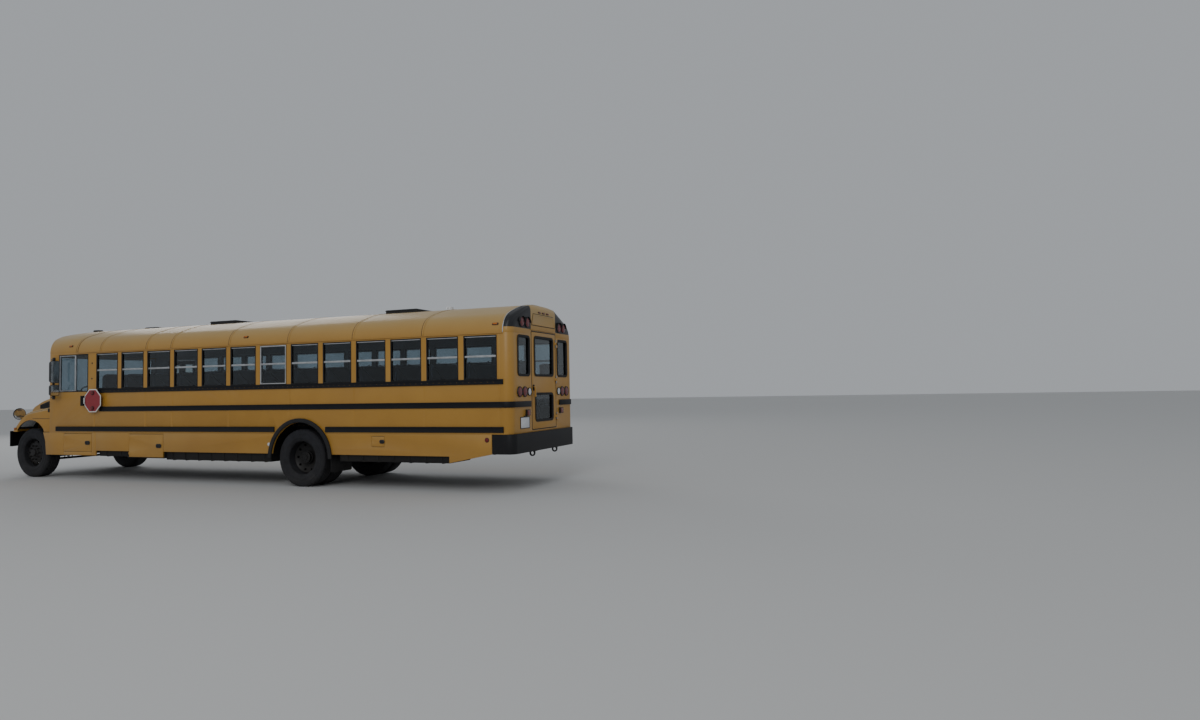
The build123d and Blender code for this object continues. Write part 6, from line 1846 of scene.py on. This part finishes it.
def buildCab():
    s = cabSettings
    clearSelection()
    bpy.ops.mesh.primitive_torus_add(major_radius=s["rim"] - s["section"], minor_radius=s["section"],
                                     major_segments=64, minor_segments=12)
    parts = [smooth(settle(bpy.context.object), 60)]
    for i in range(s["spokes"]):
        spoke = roundedBlock("spoke", (0.030, -0.016, -0.006),
                             (s["rim"] - 0.015, 0.016, 0.004), 2, 0.006, 3, 0.002)
        parts.append(turnMesh(spoke, math.radians(360 * i / s["spokes"] + 180)))
    parts.append(turned("wheelHub", (0, 0, 0), s["hub"], 32, "Z"))
    parts.append(turned("column", (0, 0, 0), s["column"], 24, "Z"))
    rim = joinPieces("steeringRim", parts)
    moveMesh(turnMesh(rim, math.radians(s["tilt"] - 90), "Y"), s["wheel"])
    mount("steeringRim", [rim], "plastic", replaced=["steering_wheel"])
    dash = cadCopy("dashboard", "dashTop", 0.020, 3)
    binnacle = roundedBlock("binnacle", (4.330, 0.420, 1.660), (4.560, 0.860, 1.700), 2, 0.05, 5, 0.014)
    mount("dashTop", [dash, binnacle], "plastic", replaced=["dashboard"])
    mount("handrails", [tube(start, end, 0.016) for start, end in s["rails"]], "aluminium")


buildCab()
print("cab built")

# underside: merged copies with eased edges, leaf clips, ribs and bolts on the packs, brake chambers
underSettings = [
    # node, piece, look, slot, edge radius
    ("chassis_frame", "chassisRails", "chassis", "black_steel", 0.002),
    ("equipment_bays", "bayBoxes", "chassis", "black_steel", 0.002),
    ("battery_packs", "packCases", "chassis", "black_steel", 0.012),
    ("leaf_springs", "springPacks", "iron", "black_iron", 0.003),
    ("front_axle", "frontBeam", "iron", "black_iron", 0.006),
    ("rear_axle", "rearCasing", "iron", "black_iron", 0.006),
    ("knuckle_left", "knuckleLeft", "iron", "black_iron", 0.004),
    ("knuckle_right", "knuckleRight", "iron", "black_iron", 0.004),
    ("tie_rod", "trackRod", "iron", "black_iron", 0.003),
    ("drive_units", "driveCases", "casting", "aluminium", 0.010),
]
packSettings = {
    # side, rear X, front X, low Z of each battery pack
    "packs": [(1, 2.345, 3.145, 0.463), (1, -1.197, 1.339, 0.420), (1, -4.865, -2.695, 0.456),
              (-1, 2.345, 3.145, 0.463), (-1, -1.197, 2.275, 0.420), (-1, -4.865, -2.695, 0.456)],
    "ribStep": 0.30, "ribHalf": 0.018, "underY": (0.56, 1.150), "outerY": (1.173, 1.183), "top": 0.84,
}
springSettings = {
    "clips": [(5.135, 0.415, 0.475), (-1.875, 0.480, 0.565)],      # over the front and the rear axle
    "boltX": (-0.048, 0.048), "boltY": (-0.046, 0.046),
    "chamber": (-1.640, 0.400, 0.520), "rodX": (-1.730, -1.850), "rodEndZ": 0.545,
    "chamberProfile": [(0.020, -0.10), (0.060, -0.095), (0.075, -0.07), (0.075, -0.012), (0.082, -0.010),
                       (0.082, 0.010), (0.075, 0.012), (0.075, 0.07), (0.030, 0.09)],
}


def packRibs():
    s = packSettings
    ribs, heads = [], []
    for side, rear, front, low in s["packs"]:
        count = max(2, int((front - rear) / s["ribStep"]))
        for i in range(count):
            x = rear + (front - rear) * (i + 0.5) / count
            for ys, lowZ, highZ in ((s["underY"], low - 0.010, low + 0.002),
                                    (s["outerY"], low + 0.03, s["top"])):
                inner, outer = across(side, *ys)
                ribs.append(addBox("packRib", (x - s["ribHalf"], inner, lowZ),
                                   (x + s["ribHalf"], outer, highZ), 0.003))
            heads += [((x + shift, side * 1.175, low + 0.022), (0, side, 0)) for shift in (0.05, -0.05)]
    return ribs + [rivets("packBolts", heads, 0.008, 0.005)]


def buildUnderside():
    s = springSettings
    easeCopies(*underSettings)
    parts = packRibs()
    x, y, z = s["chamber"]
    for side in (-1, 1):
        for clipX, clipY, clipZ in s["clips"]:
            for boltX in s["boltX"]:
                for boltY in s["boltY"]:
                    place = (clipX + boltX, side * clipY + boltY)
                    parts.append(tube((*place, clipZ - 0.12), (*place, clipZ + 0.085), 0.009, 10))
        parts.append(turned("brakeChamber", (x, side * y, z), s["chamberProfile"], 28, "X"))
        parts.append(tube((s["rodX"][0], side * y, z), (s["rodX"][1], side * y, s["rodEndZ"]), 0.012, 10))
    mount("undersideDetails", parts, "chassis")


buildUnderside()
print("underside built")
